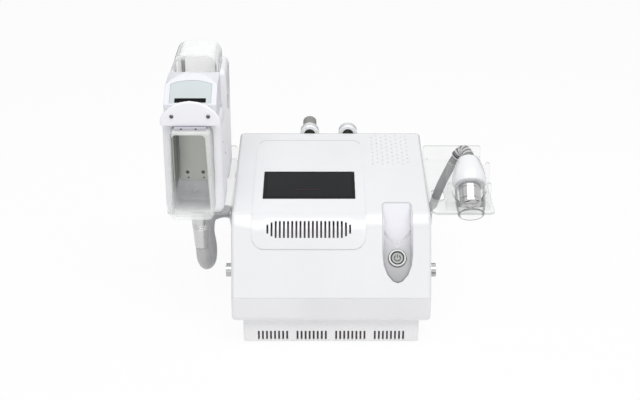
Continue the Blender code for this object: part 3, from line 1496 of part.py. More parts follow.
def make_fan():
    inside = PANEL_BACK - PANEL_THICK - CLEARANCE
    half = FAN_SIZE / 2
    frame = block(
        "fan_frame",
        place(FAN_X - half, inside - FAN_DEPTH, FAN_Z - half),
        place(FAN_X + half, inside, FAN_Z + half),
    )
    bore_start = place(FAN_X, inside - FAN_DEPTH + FAN_BACK_WEB, FAN_Z)
    cut(frame, rod("fan_bore", bore_start, (0, 1, 0), FAN_BORE_RADIUS, FAN_DEPTH + OVERRUN, 28))
    openings = []
    for side_x in (-1, 1):
        for side_z in (-1, 1):
            near = FAN_SPOKE / 2
            far = (FAN_BORE_RADIUS - FAN_SPOKE) * 0.72
            x0, x1 = sorted((FAN_X + side_x * near, FAN_X + side_x * far))
            z0, z1 = sorted((FAN_Z + side_z * near, FAN_Z + side_z * far))
            start = place(x0, inside - FAN_DEPTH - OVERRUN, z0)
            openings.append((start, place(x1, inside - FAN_DEPTH / 2, z1)))
    cut(frame, blocks("fan_web", openings))
    hub_start = place(FAN_X, inside - FAN_DEPTH, FAN_Z)
    pin_length = FAN_BACK_WEB + CLEARANCE + FAN_HUB_LENGTH * 0.6
    unite(
        frame,
        rod("fan_seat", hub_start, (0, 1, 0), FAN_HUB_RADIUS * 0.8, FAN_BACK_WEB, 20),
        rod("fan_pin", hub_start, (0, 1, 0), FAN_PIN_RADIUS, pin_length, 16),
    )
    dark_plastic(frame)
    make_rotor(FAN_X, inside - FAN_DEPTH + FAN_BACK_WEB + CLEARANCE)


def make_rotor(x, start):
    rotor = rod("fan_rotor", place(x, start, FAN_Z), (0, 1, 0), FAN_HUB_RADIUS, FAN_HUB_LENGTH, 24)
    length = FAN_BLADE_RADIUS - FAN_HUB_RADIUS * 0.8
    middle = FAN_HUB_RADIUS * 0.8 + length / 2
    pitch = Matrix.Rotation(math.radians(FAN_BLADE_PITCH_DEGREES), 3, "X")
    hub = place(x, start + FAN_HUB_LENGTH / 2, FAN_Z)
    for blade in range(FAN_BLADES):
        around = Matrix.Rotation(2 * math.pi * blade / FAN_BLADES, 3, "Y")
        size = Vector((length, FAN_HUB_LENGTH * 0.95, FAN_BLADE_THICK))
        centre = hub + around @ Vector((middle, 0, 0))
        unite(rotor, turned_block(f"blade_{blade}", centre, around @ pitch, size))
    bore = place(x, start - OVERRUN, FAN_Z)
    bore_length = OVERRUN + FAN_HUB_LENGTH * 0.7
    cut(rotor, rod("rotor_bore", bore, (0, 1, 0), FAN_PIN_RADIUS + CLEARANCE, bore_length, 16))
    dark_plastic(rotor)


def make_inlet():
    """The mains inlet and its rocker switch, on one flange."""
    face = PANEL_BACK + CLEARANCE
    low_x = INLET_X - INLET_WIDTH / 2
    high_x = ROCKER_X + ROCKER_WIDTH
    half_height = ROCKER_HEIGHT / 2 + 2 * FAN_WALL
    outline = rounded(low_x, INLET_Z - half_height, high_x, INLET_Z + half_height, CUP_WALL)
    inlet = slab("mains_inlet", outline, INLET_FLANGE, place(0, face + INLET_FLANGE / 2, 0), FACING_FRONT)
    inlet_body = face_box(
        "inlet_body",
        INLET_X,
        INLET_BODY_WIDTH,
        INLET_BODY_HEIGHT,
        -INLET_BODY_DEPTH,
        INLET_FLANGE / 2,
    )
    rocker_body = face_box(
        "rocker_body",
        ROCKER_X,
        ROCKER_WIDTH + 2 * FAN_WALL,
        ROCKER_HEIGHT + FAN_WALL,
        -ROCKER_BODY_DEPTH,
        INLET_FLANGE / 2,
    )
    unite(inlet, inlet_body, rocker_body)
    well_back = INLET_FLANGE - INLET_WELL_DEPTH
    cut(inlet, face_box("inlet_well", INLET_X, INLET_WELL_WIDTH, INLET_WELL_HEIGHT, well_back, OVERRUN))
    for k in (-1, 0, 1):
        x = INLET_X + k * INLET_WELL_WIDTH / 4
        unite(inlet, face_box(f"inlet_pin_{k}", x, PIN_WIDTH, PIN_HEIGHT, well_back - CLEARANCE, -CLEARANCE))
    gap = 2 * CLEARANCE
    rocker_well = face_box(
        "rocker_well", ROCKER_X, ROCKER_WIDTH + gap, ROCKER_HEIGHT + gap, -ROCKER_BODY_DEPTH + WALL, OVERRUN
    )
    cut(inlet, rocker_well)
    dark_plastic(inlet)
    start = INLET_FLANGE + ROCKER_GAP - ROCKER_THICK
    rocker = face_box(
        "mains_rocker",
        ROCKER_X,
        ROCKER_WIDTH,
        ROCKER_HEIGHT - 2 * ROCKER_GAP,
        start,
        INLET_FLANGE + ROCKER_GAP,
    )
    round_edges(rocker, ROCKER_GAP / 2)
    dark_plastic(rocker)


def face_box(name, x, width, height, start, end):
    """A box about the inlet's height, between two depths from the rear panel's face."""
    face = PANEL_BACK + CLEARANCE
    low = place(x - width / 2, face + start, INLET_Z - height / 2)
    return block(name, low, place(x + width / 2, face + end, INLET_Z + height / 2))


def coil_inner(radius, turns, hose):
    return radius - 2 * hose * COIL_INWARD_SHARE * turns


SOCKETS = (
    (BIG_COIL_X + coil_inner(BIG_COIL_RADIUS, BIG_COIL_TURNS, BIG_HOSE_RADIUS), BIG_HOSE_RADIUS + FAN_WALL),
    (SMALL_SOCKET_X, SMALL_HOSE_RADIUS + FAN_WALL),
)


def make_sockets():
    for (x, radius), name in zip(SOCKETS, ("big", "small")):
        flange = radius + SOCKET_RADIUS_OVER_HOSE
        socket = lathe(
            f"{name}_hose_socket",
            place(x, PANEL_BACK + CLEARANCE, SOCKET_Z),
            (0, 1, 0),
            [
                (0, SOCKET_LENGTH),
                (radius, SOCKET_LENGTH),
                (radius, FAN_WALL),
                (flange, FAN_WALL),
                (flange, 0),
                (radius, 0),
                (radius, -PANEL_THICK - SOCKET_INSIDE),
                (0, -PANEL_THICK - SOCKET_INSIDE),
            ],
            24,
        )
        paint(socket, (0.15, 0.15, 0.16), 0.5)


def make_neck_fittings():
    """Two white necks behind the top edge. A grey cap screws onto the left one's spout."""
    for x, name in zip(NECK_FITTING_XS, ("filler_neck", "drain_neck")):
        start = BODY_DEPTH + NECK_STANDOFF
        ring = lathe(
            name,
            place(x, start + NECK_RING_LENGTH, NECK_FITTING_Z),
            (0, -1, 0),
            [
                (0, NECK_RING_LENGTH - NECK_BORE_DEPTH),
                (NECK_BORE_RADIUS, NECK_RING_LENGTH - NECK_BORE_DEPTH),
                (NECK_BORE_RADIUS, NECK_RING_LENGTH),
                (NECK_RING_RADIUS - FAN_WALL, NECK_RING_LENGTH),
                (NECK_RING_RADIUS, NECK_RING_LENGTH - FAN_WALL),
                (NECK_RING_RADIUS, 0),
                (0, 0),
            ],
        )
        half = NECK_LEG_WIDTH / 2
        low_z = NECK_FITTING_Z - NECK_LEG_DROP
        leg = block(
            f"{name}_leg",
            place(x - half, PANEL_BACK + CLEARANCE, low_z),
            place(x + half, start + NECK_LEG_THICK, NECK_FITTING_Z - NECK_RING_RADIUS * 0.75),
        )
        unite(ring, leg)
        if name == "filler_neck":
            tilt = math.radians(SPOUT_TILT_DEGREES)
            axis = Vector((0, math.cos(tilt), math.sin(tilt)))
            root = place(x, start + NECK_RING_LENGTH - SPOUT_ROOT, NECK_FITTING_Z)
            unite(ring, rod("spout", root, axis, SPOUT_RADIUS, SPOUT_LENGTH, 24))
            cap_base = root + axis * (SPOUT_LENGTH - CAP_LENGTH + CAP_WALL + CLEARANCE)
            outline = knurled(CAP_RADIUS, CAP_TOOTH, CAP_TEETH)
            cap = slab("filler_cap", outline, CAP_LENGTH, cap_base + axis * (CAP_LENGTH / 2), toward(axis))
            round_edges(cap, CAP_WALL * 0.6)
            bore_start = cap_base - axis * OVERRUN
            bore_length = OVERRUN + CAP_LENGTH - CAP_WALL
            cut(cap, rod("cap_bore", bore_start, axis, SPOUT_RADIUS + CLEARANCE, bore_length, 24))
            grey_plastic(cap)
        white_plastic(ring)


# Inside the console


def stand(name, size, spot, base, rounding=0.0):
    """A box that stands on a level, at its place across and back."""
    half_x, half_y = size[0] / 2, size[1] / 2
    low = place(spot[0] - half_x, spot[1] - half_y, base)
    return block(name, low, place(spot[0] + half_x, spot[1] + half_y, base + size[2]), rounding)


def make_inner_pieces():
    base = PAN_FLOOR_Z + CLEARANCE
    tank = stand("water_tank", TANK_SIZE, TANK_PLACE, base, TANK_WALL)
    neck_top = base + TANK_SIZE[2] + TANK_NECK_HEIGHT
    neck_start = place(*TANK_PLACE, base + TANK_SIZE[2] - TANK_WALL)
    unite(tank, rod("tank_neck", neck_start, (0, 0, 1), TANK_NECK_RADIUS, TANK_NECK_HEIGHT + TANK_WALL, 24))
    inner = [side - 2 * TANK_WALL for side in TANK_SIZE]
    cut(tank, stand("tank_hollow", inner, TANK_PLACE, base + TANK_WALL))
    bore_start = neck_start - Vector((0, 0, TANK_WALL))
    cut(tank, rod("tank_bore", bore_start, (0, 0, 1), TANK_NECK_RADIUS - TANK_WALL, neck_top, 24))
    paint(tank, (0.8, 0.84, 0.86), 0.4)

    supply = stand("power_supply", SUPPLY_SIZE, SUPPLY_PLACE, base, TANK_WALL / 2)
    boxes = []
    for slot in range(SUPPLY_SLOTS):
        depth = SUPPLY_PLACE[1] + (slot - (SUPPLY_SLOTS - 1) / 2) * 2 * SLOT_PITCH
        high = base + SUPPLY_SIZE[2] + OVERRUN
        boxes.append(
            (
                place(SUPPLY_PLACE[0] - SUPPLY_SIZE[0] / 3, depth - SLOT_WIDTH / 2, high - OVERRUN - WALL),
                place(SUPPLY_PLACE[0] + SUPPLY_SIZE[0] / 3, depth + SLOT_WIDTH / 2, high),
            )
        )
    cut(supply, blocks("supply_slots", boxes))
    steel(supply)

    board_base = base + SUPPLY_SIZE[2] + CLEARANCE + BOARD_STANDOFF
    board = stand("control_board", BOARD_SIZE, BOARD_PLACE, board_base)
    chip_size = (BOARD_CHIP, BOARD_CHIP, BOARD_CHIP_HEIGHT + BOARD_SIZE[2] / 2)
    for k in (-1, 1):
        spot = (BOARD_PLACE[0], BOARD_PLACE[1] + k * BOARD_CHIP)
        unite(board, stand(f"chip_{k}", chip_size, spot, board_base + BOARD_SIZE[2] / 2))
    for x in (-1, 1):
        for y in (-1, 1):
            spot = place(
                BOARD_PLACE[0] + x * (BOARD_SIZE[0] / 2 - 2 * BOARD_STANDOFF_RADIUS),
                BOARD_PLACE[1] + y * (BOARD_SIZE[1] / 2 - 2 * BOARD_STANDOFF_RADIUS),
                board_base - BOARD_STANDOFF,
            )
            leg = BOARD_STANDOFF + BOARD_SIZE[2] / 2
            unite(board, rod(f"standoff_{x}_{y}", spot, (0, 0, 1), BOARD_STANDOFF_RADIUS, leg, 8))
    paint(board, (0.02, 0.25, 0.08), 0.5)

    make_pump("water_pump", PUMP_PLACE, PUMP_RADIUS, PUMP_LENGTH, base)
    make_pump("vacuum_pump", VACUUM_PLACE, VACUUM_RADIUS, VACUUM_LENGTH, base)
    make_radiator()


def make_pump(name, spot, radius, length, base):
    """A motor lying on a foot, with its pump head and two ports."""
    centre_z = base + PUMP_FOOT + radius
    start = place(spot[0], spot[1] - length / 2, centre_z)
    pump = rod(name, start, (0, 1, 0), radius, length * 0.7, 24)
    head_start = start + Vector((0, length * 0.68, 0))
    unite(pump, rod(f"{name}_head", head_start, (0, 1, 0), radius * 0.85, length * 0.32, 20))
    foot_size = (radius * 1.4, length * 0.6, PUMP_FOOT + radius / 2)
    unite(pump, stand(f"{name}_foot", foot_size, (spot[0], spot[1] - length * 0.1), base))
    port_start = head_start + Vector((0, length * 0.18, radius * 0.6))
    unite(pump, rod(f"{name}_port", port_start, (0, 0, 1), radius * 0.22, radius * 0.7, 8))
    dark_plastic(pump)


def make_radiator():
    """A finned cooler against the fans, standing on the chassis plate."""
    end = PANEL_BACK - PANEL_THICK - 2 * CLEARANCE - FAN_DEPTH
    half = RADIATOR_WIDTH / 2
    base = PAN_FLOOR_Z + CLEARANCE
    top = FAN_Z + RADIATOR_HEIGHT / 2
    floor = FAN_Z - RADIATOR_HEIGHT / 2
    radiator = block(
        "radiator",
        place(-half, end - RADIATOR_DEPTH, floor),
        place(half, end, floor + RADIATOR_TUBE),
    )
    unite(
        radiator,
        block("radiator_top", place(-half, end - RADIATOR_DEPTH, top - RADIATOR_TUBE), place(half, end, top)),
    )
    pitch = (2 * half - RADIATOR_FIN) / (RADIATOR_FINS - 1)
    fins = []
    for fin in range(RADIATOR_FINS):
        x = -half + fin * pitch
        fins.append((place(x, end - RADIATOR_DEPTH, floor + WALL), place(x + RADIATOR_FIN, end, top - WALL)))
    unite(radiator, blocks("radiator_fins", fins))
    legs = [
        (
            place(side * (half - RADIATOR_TUBE) - RADIATOR_TUBE / 2, end - RADIATOR_DEPTH, base),
            place(
                side * (half - RADIATOR_TUBE) + RADIATOR_TUBE / 2,
                end - RADIATOR_DEPTH + WALL,
                floor + WALL,
            ),
        )
        for side in (-1, 1)
    ]
    unite(radiator, blocks("radiator_legs", legs))
    paint(radiator, (0.65, 0.65, 0.67), 0.4, 1.0)


# Hoses


def spiral(centre, radius, hose, turns, start_angle, direction):
    """A coil's points: each turn lies on the one below, a little further in."""
    pitch = 2 * hose + COIL_PITCH_OVER_DIAMETER
    inward = 2 * hose * COIL_INWARD_SHARE
    level = math.sqrt(pitch**2 - inward**2)
    count = round(turns * COIL_STEPS)
    points = []
    for i in range(count + 1):
        turn = i / COIL_STEPS
        step_up = max(0.0, 1 - (1 - turn % 1) / COIL_STEP_UP)
        height = level * (turn // 1 + step_up**2 * (3 - 2 * step_up))
        reach = radius - inward * turn
        angle = start_angle + direction * 2 * math.pi * turn
        points.append(centre + Vector((reach * math.cos(angle), reach * math.sin(angle), height)))
    return points


def least_gap(points, hose):
    """The least space between a tube and its own later turns."""
    least = math.inf
    skip = COIL_STEPS // 2
    for i, here in enumerate(points):
        for there in points[i + skip :]:
            least = min(least, (here - there).length - 2 * hose)
    return least


def shorten(points, start, end):
    """A line with its two ends drawn back by the clearance that touching pieces keep."""
    line = list(points)
    if start:
        line[0] = line[0] + (line[1] - line[0]).normalized() * CLEARANCE
    if end:
        line[-1] = line[-1] + (line[-2] - line[-1]).normalized() * CLEARANCE
    return line


def make_hose(name, hose, lead_points, coil_place, radius, turns, direction, socket_x, colour):
    """A free hose in three stretches: to the floor, round its coil, and up to its socket."""
    rest = hose + WELD
    centre = place(*coil_place, rest)
    start_angle = math.pi if direction < 0 else 0.0
    coil = spiral(centre, radius, hose, turns, start_angle, direction)
    joint = coil[0] - Vector((0, hose, 0))
    coil.insert(0, joint)
    near_joint = joint - Vector((0, hose / 2, 0))
    guide = [*lead_points, joint - Vector((0, 2 * hose, 0)), joint]
    lead, lead_length = smooth_line(guide, hose * LEAD_STEP_SHARE)
    lead = [lead[0], lead_points[1], *lead[1:-1], near_joint, lead[-1]]
    lead = [Vector((point.x, point.y, max(point.z, rest))) for point in lead]
    end = place(socket_x, PANEL_BACK + 2 * CLEARANCE + SOCKET_LENGTH, SOCKET_Z)
    rise = [
        coil[-1],
        coil[-1] + Vector((0, -2 * hose, hose / 2)),
        Vector((socket_x, (coil[-1].y + end.y) / 2, (coil[-1].z + SOCKET_Z) / 2 + hose / 2)),
        end + Vector((0, 2 * hose, 0)),
        end,
    ]
    tail, tail_length = smooth_line(rise, hose * LEAD_STEP_SHARE)
    coil_length = sum((b - a).length for a, b in zip(coil, coil[1:]))
    tube(f"{name}_hose", shorten(lead, True, True), hose)
    tube(f"{name}_hose_coil", coil + tail[1:], hose, 1)
    for piece in (f"{name}_hose", f"{name}_hose_coil"):
        paint(bpy.data.objects[piece], colour, 0.6)
    gap = least_gap(coil[1:], hose)
    stretches = f"{lead_length:.3f} + {coil_length:.3f} + {tail_length:.3f} m"
    print(f"{name} hose: {stretches}, coil gap {gap * 1000:.2f} mm")


def big_hose_points():
    end = place(COLLAR_X, COLLAR_DEPTH, FRONT_FLOOR - CLEARANCE - COLLAR_LENGTH)
    straight = [end - Vector((0, 0, BIG_HOSE_RADIUS * share)) for share in (0, 0.7, 1.4)]
    return [*straight, *route(BIG_HOSE_ROUTE)]


def small_hose_points(start, along):
    straight = [start + along * SMALL_HOSE_RADIUS * share for share in (0, 0.5, 1)]
    return [*straight, *route(SMALL_HOSE_ROUTE)]


make_upper_casing()
make_lower_pan()
make_plinth()
make_fascia()
make_display()
make_power_panel()
make_side_knobs()
make_trays()
make_front_handpiece()
make_rear_handpiece()
make_wand()
make_rear_panel()
make_fan()
make_inlet()
make_sockets()
make_neck_fittings()
make_inner_pieces()
RELIEF_END, RELIEF_AXIS = make_relief()
make_hose(
    "left",
    BIG_HOSE_RADIUS,
    big_hose_points(),
    (BIG_COIL_X, BIG_COIL_DEPTH),
    BIG_COIL_RADIUS,
    BIG_COIL_TURNS,
    -1,
    SOCKETS[0][0],
    (0.3, 0.3, 0.31),
)
make_hose(
    "right",
    SMALL_HOSE_RADIUS,
    small_hose_points(RELIEF_END, RELIEF_AXIS),
    (SMALL_COIL_X, SMALL_COIL_DEPTH),
    SMALL_COIL_RADIUS,
    SMALL_COIL_TURNS,
    1,
    SOCKETS[1][0],
    (0.35, 0.35, 0.36),
)
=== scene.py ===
"""The looks of the desktop cryolipolysis machine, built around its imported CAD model.

Places are given in millimetres: across from the casing's middle, back from the casing's
front edge, and up from the table.
"""
import json
import math

import bmesh
import bpy
from mathutils import Matrix, Vector

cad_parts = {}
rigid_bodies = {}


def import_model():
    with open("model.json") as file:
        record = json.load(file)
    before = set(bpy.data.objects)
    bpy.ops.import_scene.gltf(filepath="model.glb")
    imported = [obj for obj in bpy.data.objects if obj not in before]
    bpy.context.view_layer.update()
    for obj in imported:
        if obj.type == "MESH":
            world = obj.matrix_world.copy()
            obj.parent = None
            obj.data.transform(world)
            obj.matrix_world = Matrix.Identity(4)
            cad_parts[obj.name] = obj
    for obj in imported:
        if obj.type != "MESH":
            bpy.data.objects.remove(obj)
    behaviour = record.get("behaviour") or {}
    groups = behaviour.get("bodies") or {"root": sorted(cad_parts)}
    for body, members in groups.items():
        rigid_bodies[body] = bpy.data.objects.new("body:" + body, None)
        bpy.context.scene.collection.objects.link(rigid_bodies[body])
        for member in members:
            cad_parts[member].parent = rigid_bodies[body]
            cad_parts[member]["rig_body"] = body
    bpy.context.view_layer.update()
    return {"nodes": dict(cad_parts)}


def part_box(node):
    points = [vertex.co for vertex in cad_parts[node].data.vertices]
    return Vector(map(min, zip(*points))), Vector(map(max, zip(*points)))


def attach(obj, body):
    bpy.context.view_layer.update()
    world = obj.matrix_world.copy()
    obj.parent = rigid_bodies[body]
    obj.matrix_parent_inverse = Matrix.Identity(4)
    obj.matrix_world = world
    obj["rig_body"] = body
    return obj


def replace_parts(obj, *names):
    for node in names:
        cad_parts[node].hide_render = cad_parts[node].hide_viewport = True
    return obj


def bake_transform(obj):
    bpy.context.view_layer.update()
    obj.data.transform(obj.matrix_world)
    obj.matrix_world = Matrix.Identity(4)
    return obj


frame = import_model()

MM = 0.001
NODES = frame["nodes"]
FRONT_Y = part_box("upper_casing")[0].y
UP = Vector((0, 0, 1))
BACK = Vector((0, 1, 0))
FRONT = Vector((0, -1, 0))
FRONT_BODY = "front_handpiece"
REAR_BODY = "rear_handpiece"
RIGHT_BODY = "right_handpiece"


def at(x, depth, z):
    """A world point from a place across, back and up in millimetres."""
    return Vector((x * MM, FRONT_Y + depth * MM, z * MM))


def link(item):
    """Puts an object into the scene."""
    bpy.context.scene.collection.objects.link(item)
    return item


def ring_of(count):
    """Each place on a closed ring together with the next one."""
    return [(side, (side + 1) % count) for side in range(count)]


# Camera

CAMERA_PLACE = (-0.0185, -2.03625, 1.1287)
CAMERA_TILT = 65
CAMERA_LENS = 71.83
CAMERA_SENSOR = 36

camera = link(bpy.data.objects.new("camera", bpy.data.cameras.new("camera")))
camera.location = CAMERA_PLACE
camera.rotation_euler = (math.radians(CAMERA_TILT), 0, 0)
camera.data.lens = CAMERA_LENS
camera.data.sensor_width = CAMERA_SENSOR
bpy.context.scene.camera = camera


# Materials: scales are per metre, depths are metres

CLOUD_SCALE = 7
GLOSS_SCALE = 38
GRAIN_DEPTH = 0.00008
COAT_ROUGHNESS = 0.06
BRUSH_DEPTH = 0.00006
WORN_FROM, WORN_TO = 0.53, 0.6
WORN_GAIN = 1.35
CLEAR_CLOUD_SCALE = 22
CLEAR_GLOSS_SCALE = 60
CLEAR_WAVE_SCALE = 90
CLEAR_WAVE_DEPTH = 0.0002
CLEAR_FACING = 0.35
CLEAR_IOR = 1.49
MARK_SCALE = 14
RUBBER_DEPTH = 0.0001
RUBBER_SHEEN, RUBBER_SHEEN_ROUGHNESS = 0.15, 0.4


def new_material(name):
    """A material with its node tree and its main shader."""
    material = bpy.data.materials.new(name)
    material.use_nodes = True
    return material, material.node_tree, material.node_tree.nodes["Principled BSDF"]


def add(tree, kind):
    """A new shader node."""
    return tree.nodes.new("ShaderNode" + kind)


def put(tree, value, socket):
    """Links a source to a socket, or sets the socket to a value."""
    if isinstance(value, bpy.types.NodeSocket):
        tree.links.new(value, socket)
    else:
        socket.default_value = value


def calc(tree, kind, first, second):
    """A node that adds, multiplies or the like."""
    node = add(tree, "Math")
    node.operation = kind
    put(tree, first, node.inputs[0])
    put(tree, second, node.inputs[1])
    return node


def mix(tree, share, first, second, kind="MIX"):
    """Two colours mixed or multiplied."""
    node = add(tree, "Mix")
    node.data_type = "RGBA"
    node.blend_type = kind
    for number, value in ((0, share), (6, first), (7, second)):
        put(tree, value, node.inputs[number])
    return node.outputs[2]


def noise(tree, scale, detail=2.0, stretch=(1, 1, 1), roughness=0.5):
    """A noise texture in the object's own space."""
    place = add(tree, "TexCoord")
    mapping = add(tree, "Mapping")
    mapping.inputs["Scale"].default_value = stretch
    texture = add(tree, "TexNoise")
    texture.inputs["Scale"].default_value = scale
    texture.inputs["Detail"].default_value = detail
    texture.inputs["Roughness"].default_value = roughness
    put(tree, place.outputs["Object"], mapping.inputs["Vector"])
    put(tree, mapping.outputs["Vector"], texture.inputs["Vector"])
    return texture.outputs["Fac"]


def ramp(tree, source, stops):
    """A colour ramp over a source value."""
    node = add(tree, "ValToRGB")
    elements = node.color_ramp.elements
    while len(elements) < len(stops):
        elements.new(0.5)
    for element, (place, colour) in zip(elements, stops):
        element.position = place
        element.color = (*colour, 1)
    put(tree, source, node.inputs["Fac"])
    return node.outputs["Color"]


def spread(tree, source, low, high, start=0.35, end=0.65):
    """Maps a source value to a range."""
    node = add(tree, "MapRange")
    for name, value in (("From Min", start), ("From Max", end), ("To Min", low), ("To Max", high)):
        node.inputs[name].default_value = value
    put(tree, source, node.inputs["Value"])
    return node.outputs["Result"]


def bump(tree, shader, source, strength, distance):
    """A fine relief on the shader's surface."""
    node = add(tree, "Bump")
    node.inputs["Strength"].default_value = strength
    node.inputs["Distance"].default_value = distance
    put(tree, source, node.inputs["Height"])
    put(tree, node.outputs["Normal"], shader.inputs["Normal"])


def shade(colour, factor):
    """A colour made darker or lighter."""
    return tuple(min(1.0, part * factor) for part in colour)


def plastic(name, colour, roughness, tone=0.025, grain=700, relief=0.08, coat=0.0):
    """Moulded plastic: a faint cloud in its tone, a fine grain and a slightly uneven gloss."""
    material, tree, shader = new_material(name)
    cloud = noise(tree, CLOUD_SCALE, 3)
    base = ramp(tree, cloud, ((0.3, shade(colour, 1 - tone)), (0.7, shade(colour, 1 + tone / 2))))
    put(tree, base, shader.inputs["Base Color"])
    rough = spread(tree, noise(tree, GLOSS_SCALE, 4), roughness * 0.85, roughness * 1.2)
    put(tree, rough, shader.inputs["Roughness"])
    bump(tree, shader, noise(tree, grain, 2), relief, GRAIN_DEPTH)
    shader.inputs["Coat Weight"].default_value = coat
    shader.inputs["Coat Roughness"].default_value = COAT_ROUGHNESS
    return material


def metal(name, colour, roughness, stretch=(1, 1, 1), scale=900, contrast=0.12, relief=0.15, metallic=1.0):
    """Metal with brushed lines along the axis whose stretch is least, and brighter worn edges."""
    material, tree, shader = new_material(name)
    lines = noise(tree, scale, 4, stretch, 0.6)
    low, high = shade(colour, 1 - contrast), shade(colour, 1 + contrast)
    base = ramp(tree, lines, ((0.3, low), (0.7, high)))
    geometry = add(tree, "NewGeometry")
    worn = spread(tree, geometry.outputs["Pointiness"], 0, 1, WORN_FROM, WORN_TO)
    edges = (*shade(colour, WORN_GAIN), 1)
    put(tree, mix(tree, worn, base, edges), shader.inputs["Base Color"])
    put(tree, spread(tree, lines, roughness * 0.8, roughness * 1.25), shader.inputs["Roughness"])
    bump(tree, shader, lines, relief, BRUSH_DEPTH)
    shader.inputs["Metallic"].default_value = metallic
    return material


def clear(name, tint, face, edge, roughness=0.05, haze=0.0, turn=(0.2, 0.97)):
    """Clear plastic of one tint, thin where it is seen square on and denser towards its outline."""
    material, tree, shader = new_material(name)
    weight = add(tree, "LayerWeight")
    weight.inputs["Blend"].default_value = CLEAR_FACING
    facing = weight.outputs["Facing"]
    cloud = noise(tree, CLEAR_CLOUD_SCALE, 3)
    tinted = ramp(tree, cloud, ((0.3, shade(tint, 0.98)), (0.7, shade(tint, 1.02))))
    put(tree, tinted, shader.inputs["Base Color"])
    cover = calc(tree, "ADD", spread(tree, facing, face, edge, *turn), spread(tree, cloud, -haze, haze))
    cover.use_clamp = True
    put(tree, cover.outputs["Value"], shader.inputs["Alpha"])
    shader.inputs["IOR"].default_value = CLEAR_IOR
    rough = spread(tree, noise(tree, CLEAR_GLOSS_SCALE, 3), roughness * 0.7, roughness * 1.6)
    put(tree, rough, shader.inputs["Roughness"])
    bump(tree, shader, noise(tree, CLEAR_WAVE_SCALE, 2), 0.05, CLEAR_WAVE_DEPTH)
    return material


def rubber(name, colour, roughness, scale=420):
    """A hose's rubber: a matt skin with fine specks and faint long marks."""
    material, tree, shader = new_material(name)
    specks = noise(tree, scale, 5, (1, 1, 1), 0.7)
    marks = noise(tree, MARK_SCALE, 3)
    base = ramp(tree, marks, ((0.25, shade(colour, 0.86)), (0.75, shade(colour, 1.14))))
    put(tree, base, shader.inputs["Base Color"])
    put(tree, spread(tree, specks, roughness * 0.85, roughness * 1.15), shader.inputs["Roughness"])
    bump(tree, shader, specks, 0.25, RUBBER_DEPTH)
    shader.inputs["Sheen Weight"].default_value = RUBBER_SHEEN
    shader.inputs["Sheen Roughness"].default_value = RUBBER_SHEEN_ROUGHNESS
    return material


WHITE = plastic("white_gloss_plastic", (0.8, 0.805, 0.825), 0.18, coat=0.15)
# Painted light: this white is made lighter than the casing's so that the plinth, in the shade under the pan,
# reads as bright as the front
LIGHTENED_WHITE_SATIN = plastic("white_satin_painted_light", (0.92, 0.92, 0.93), 0.34, relief=0.16)
PAN_WHITE = plastic("pan_gloss_plastic", (0.85, 0.85, 0.87), 0.22, coat=0.1)
LILAC = plastic("lilac_white_plastic", (0.88, 0.88, 0.915), 0.36, tone=0.012, relief=0.03)
# Painted shade: a darker copy of the shells' lilac, used on the head alone so that its slope under the top
# lamp reads less bright
HEAD_SHADED_LILAC = plastic("head_lilac_painted_shade", (0.755, 0.755, 0.805), 0.5, tone=0.012, relief=0.03)
# The recess's plastic; further down, a painted shade darkens it towards the recess's foot
PALE = plastic("recess_plastic_painted_shade", (0.76, 0.76, 0.79), 0.14, coat=0.3)
GLASS = plastic("screen_cover_glass", (0.009, 0.009, 0.01), 0.12, tone=0.1, relief=0.01)
PICTURE = plastic("screen_picture", (0.014, 0.015, 0.018), 0.14, tone=0.15, relief=0.01)
RED_LINE = plastic("screen_red_line", (0.085, 0.02, 0.03), 0.3, tone=0.3, relief=0.01)
for material, level in ((GLASS, 0.06), (PICTURE, 0.06), (RED_LINE, 0.06), (HEAD_SHADED_LILAC, 0.12)):
    material.node_tree.nodes["Principled BSDF"].inputs["Specular IOR Level"].default_value = level
DARK = plastic("dark_plastic", (0.03, 0.03, 0.033), 0.45, tone=0.12, relief=0.3)
GAUZE = plastic("vent_gauze", (0.19, 0.16, 0.162), 0.85, tone=0.25, grain=1600, relief=0.6)
GREY = plastic("grey_plastic", (0.2, 0.2, 0.195), 0.45, tone=0.1, relief=0.35)
CAP_GREY = plastic("cap_plastic", (0.27, 0.27, 0.25), 0.5, tone=0.12, relief=0.5)
# Painted shade: the dark grey for the inside of the necks' bores
NECK_SHADE_GREY = plastic("bore_painted_shade", (0.2, 0.2, 0.185), 0.5, tone=0.1, relief=0.35)
NECK_GREY = plastic("neck_plastic", (0.47, 0.46, 0.51), 0.35, tone=0.08, relief=0.2)
PANEL = plastic("handpiece_panel_gloss", (0.56, 0.61, 0.62), 0.08, tone=0.1, relief=0.02, coat=0.3)
TANK = plastic("tank_plastic", (0.72, 0.76, 0.78), 0.4, tone=0.05, relief=0.25)
BOARD = plastic("board_lacquer", (0.015, 0.16, 0.05), 0.35, tone=0.3, grain=240, relief=0.4)
RIB_GREY = plastic("rib_rubber", (0.56, 0.56, 0.57), 0.5, tone=0.1, relief=0.35)
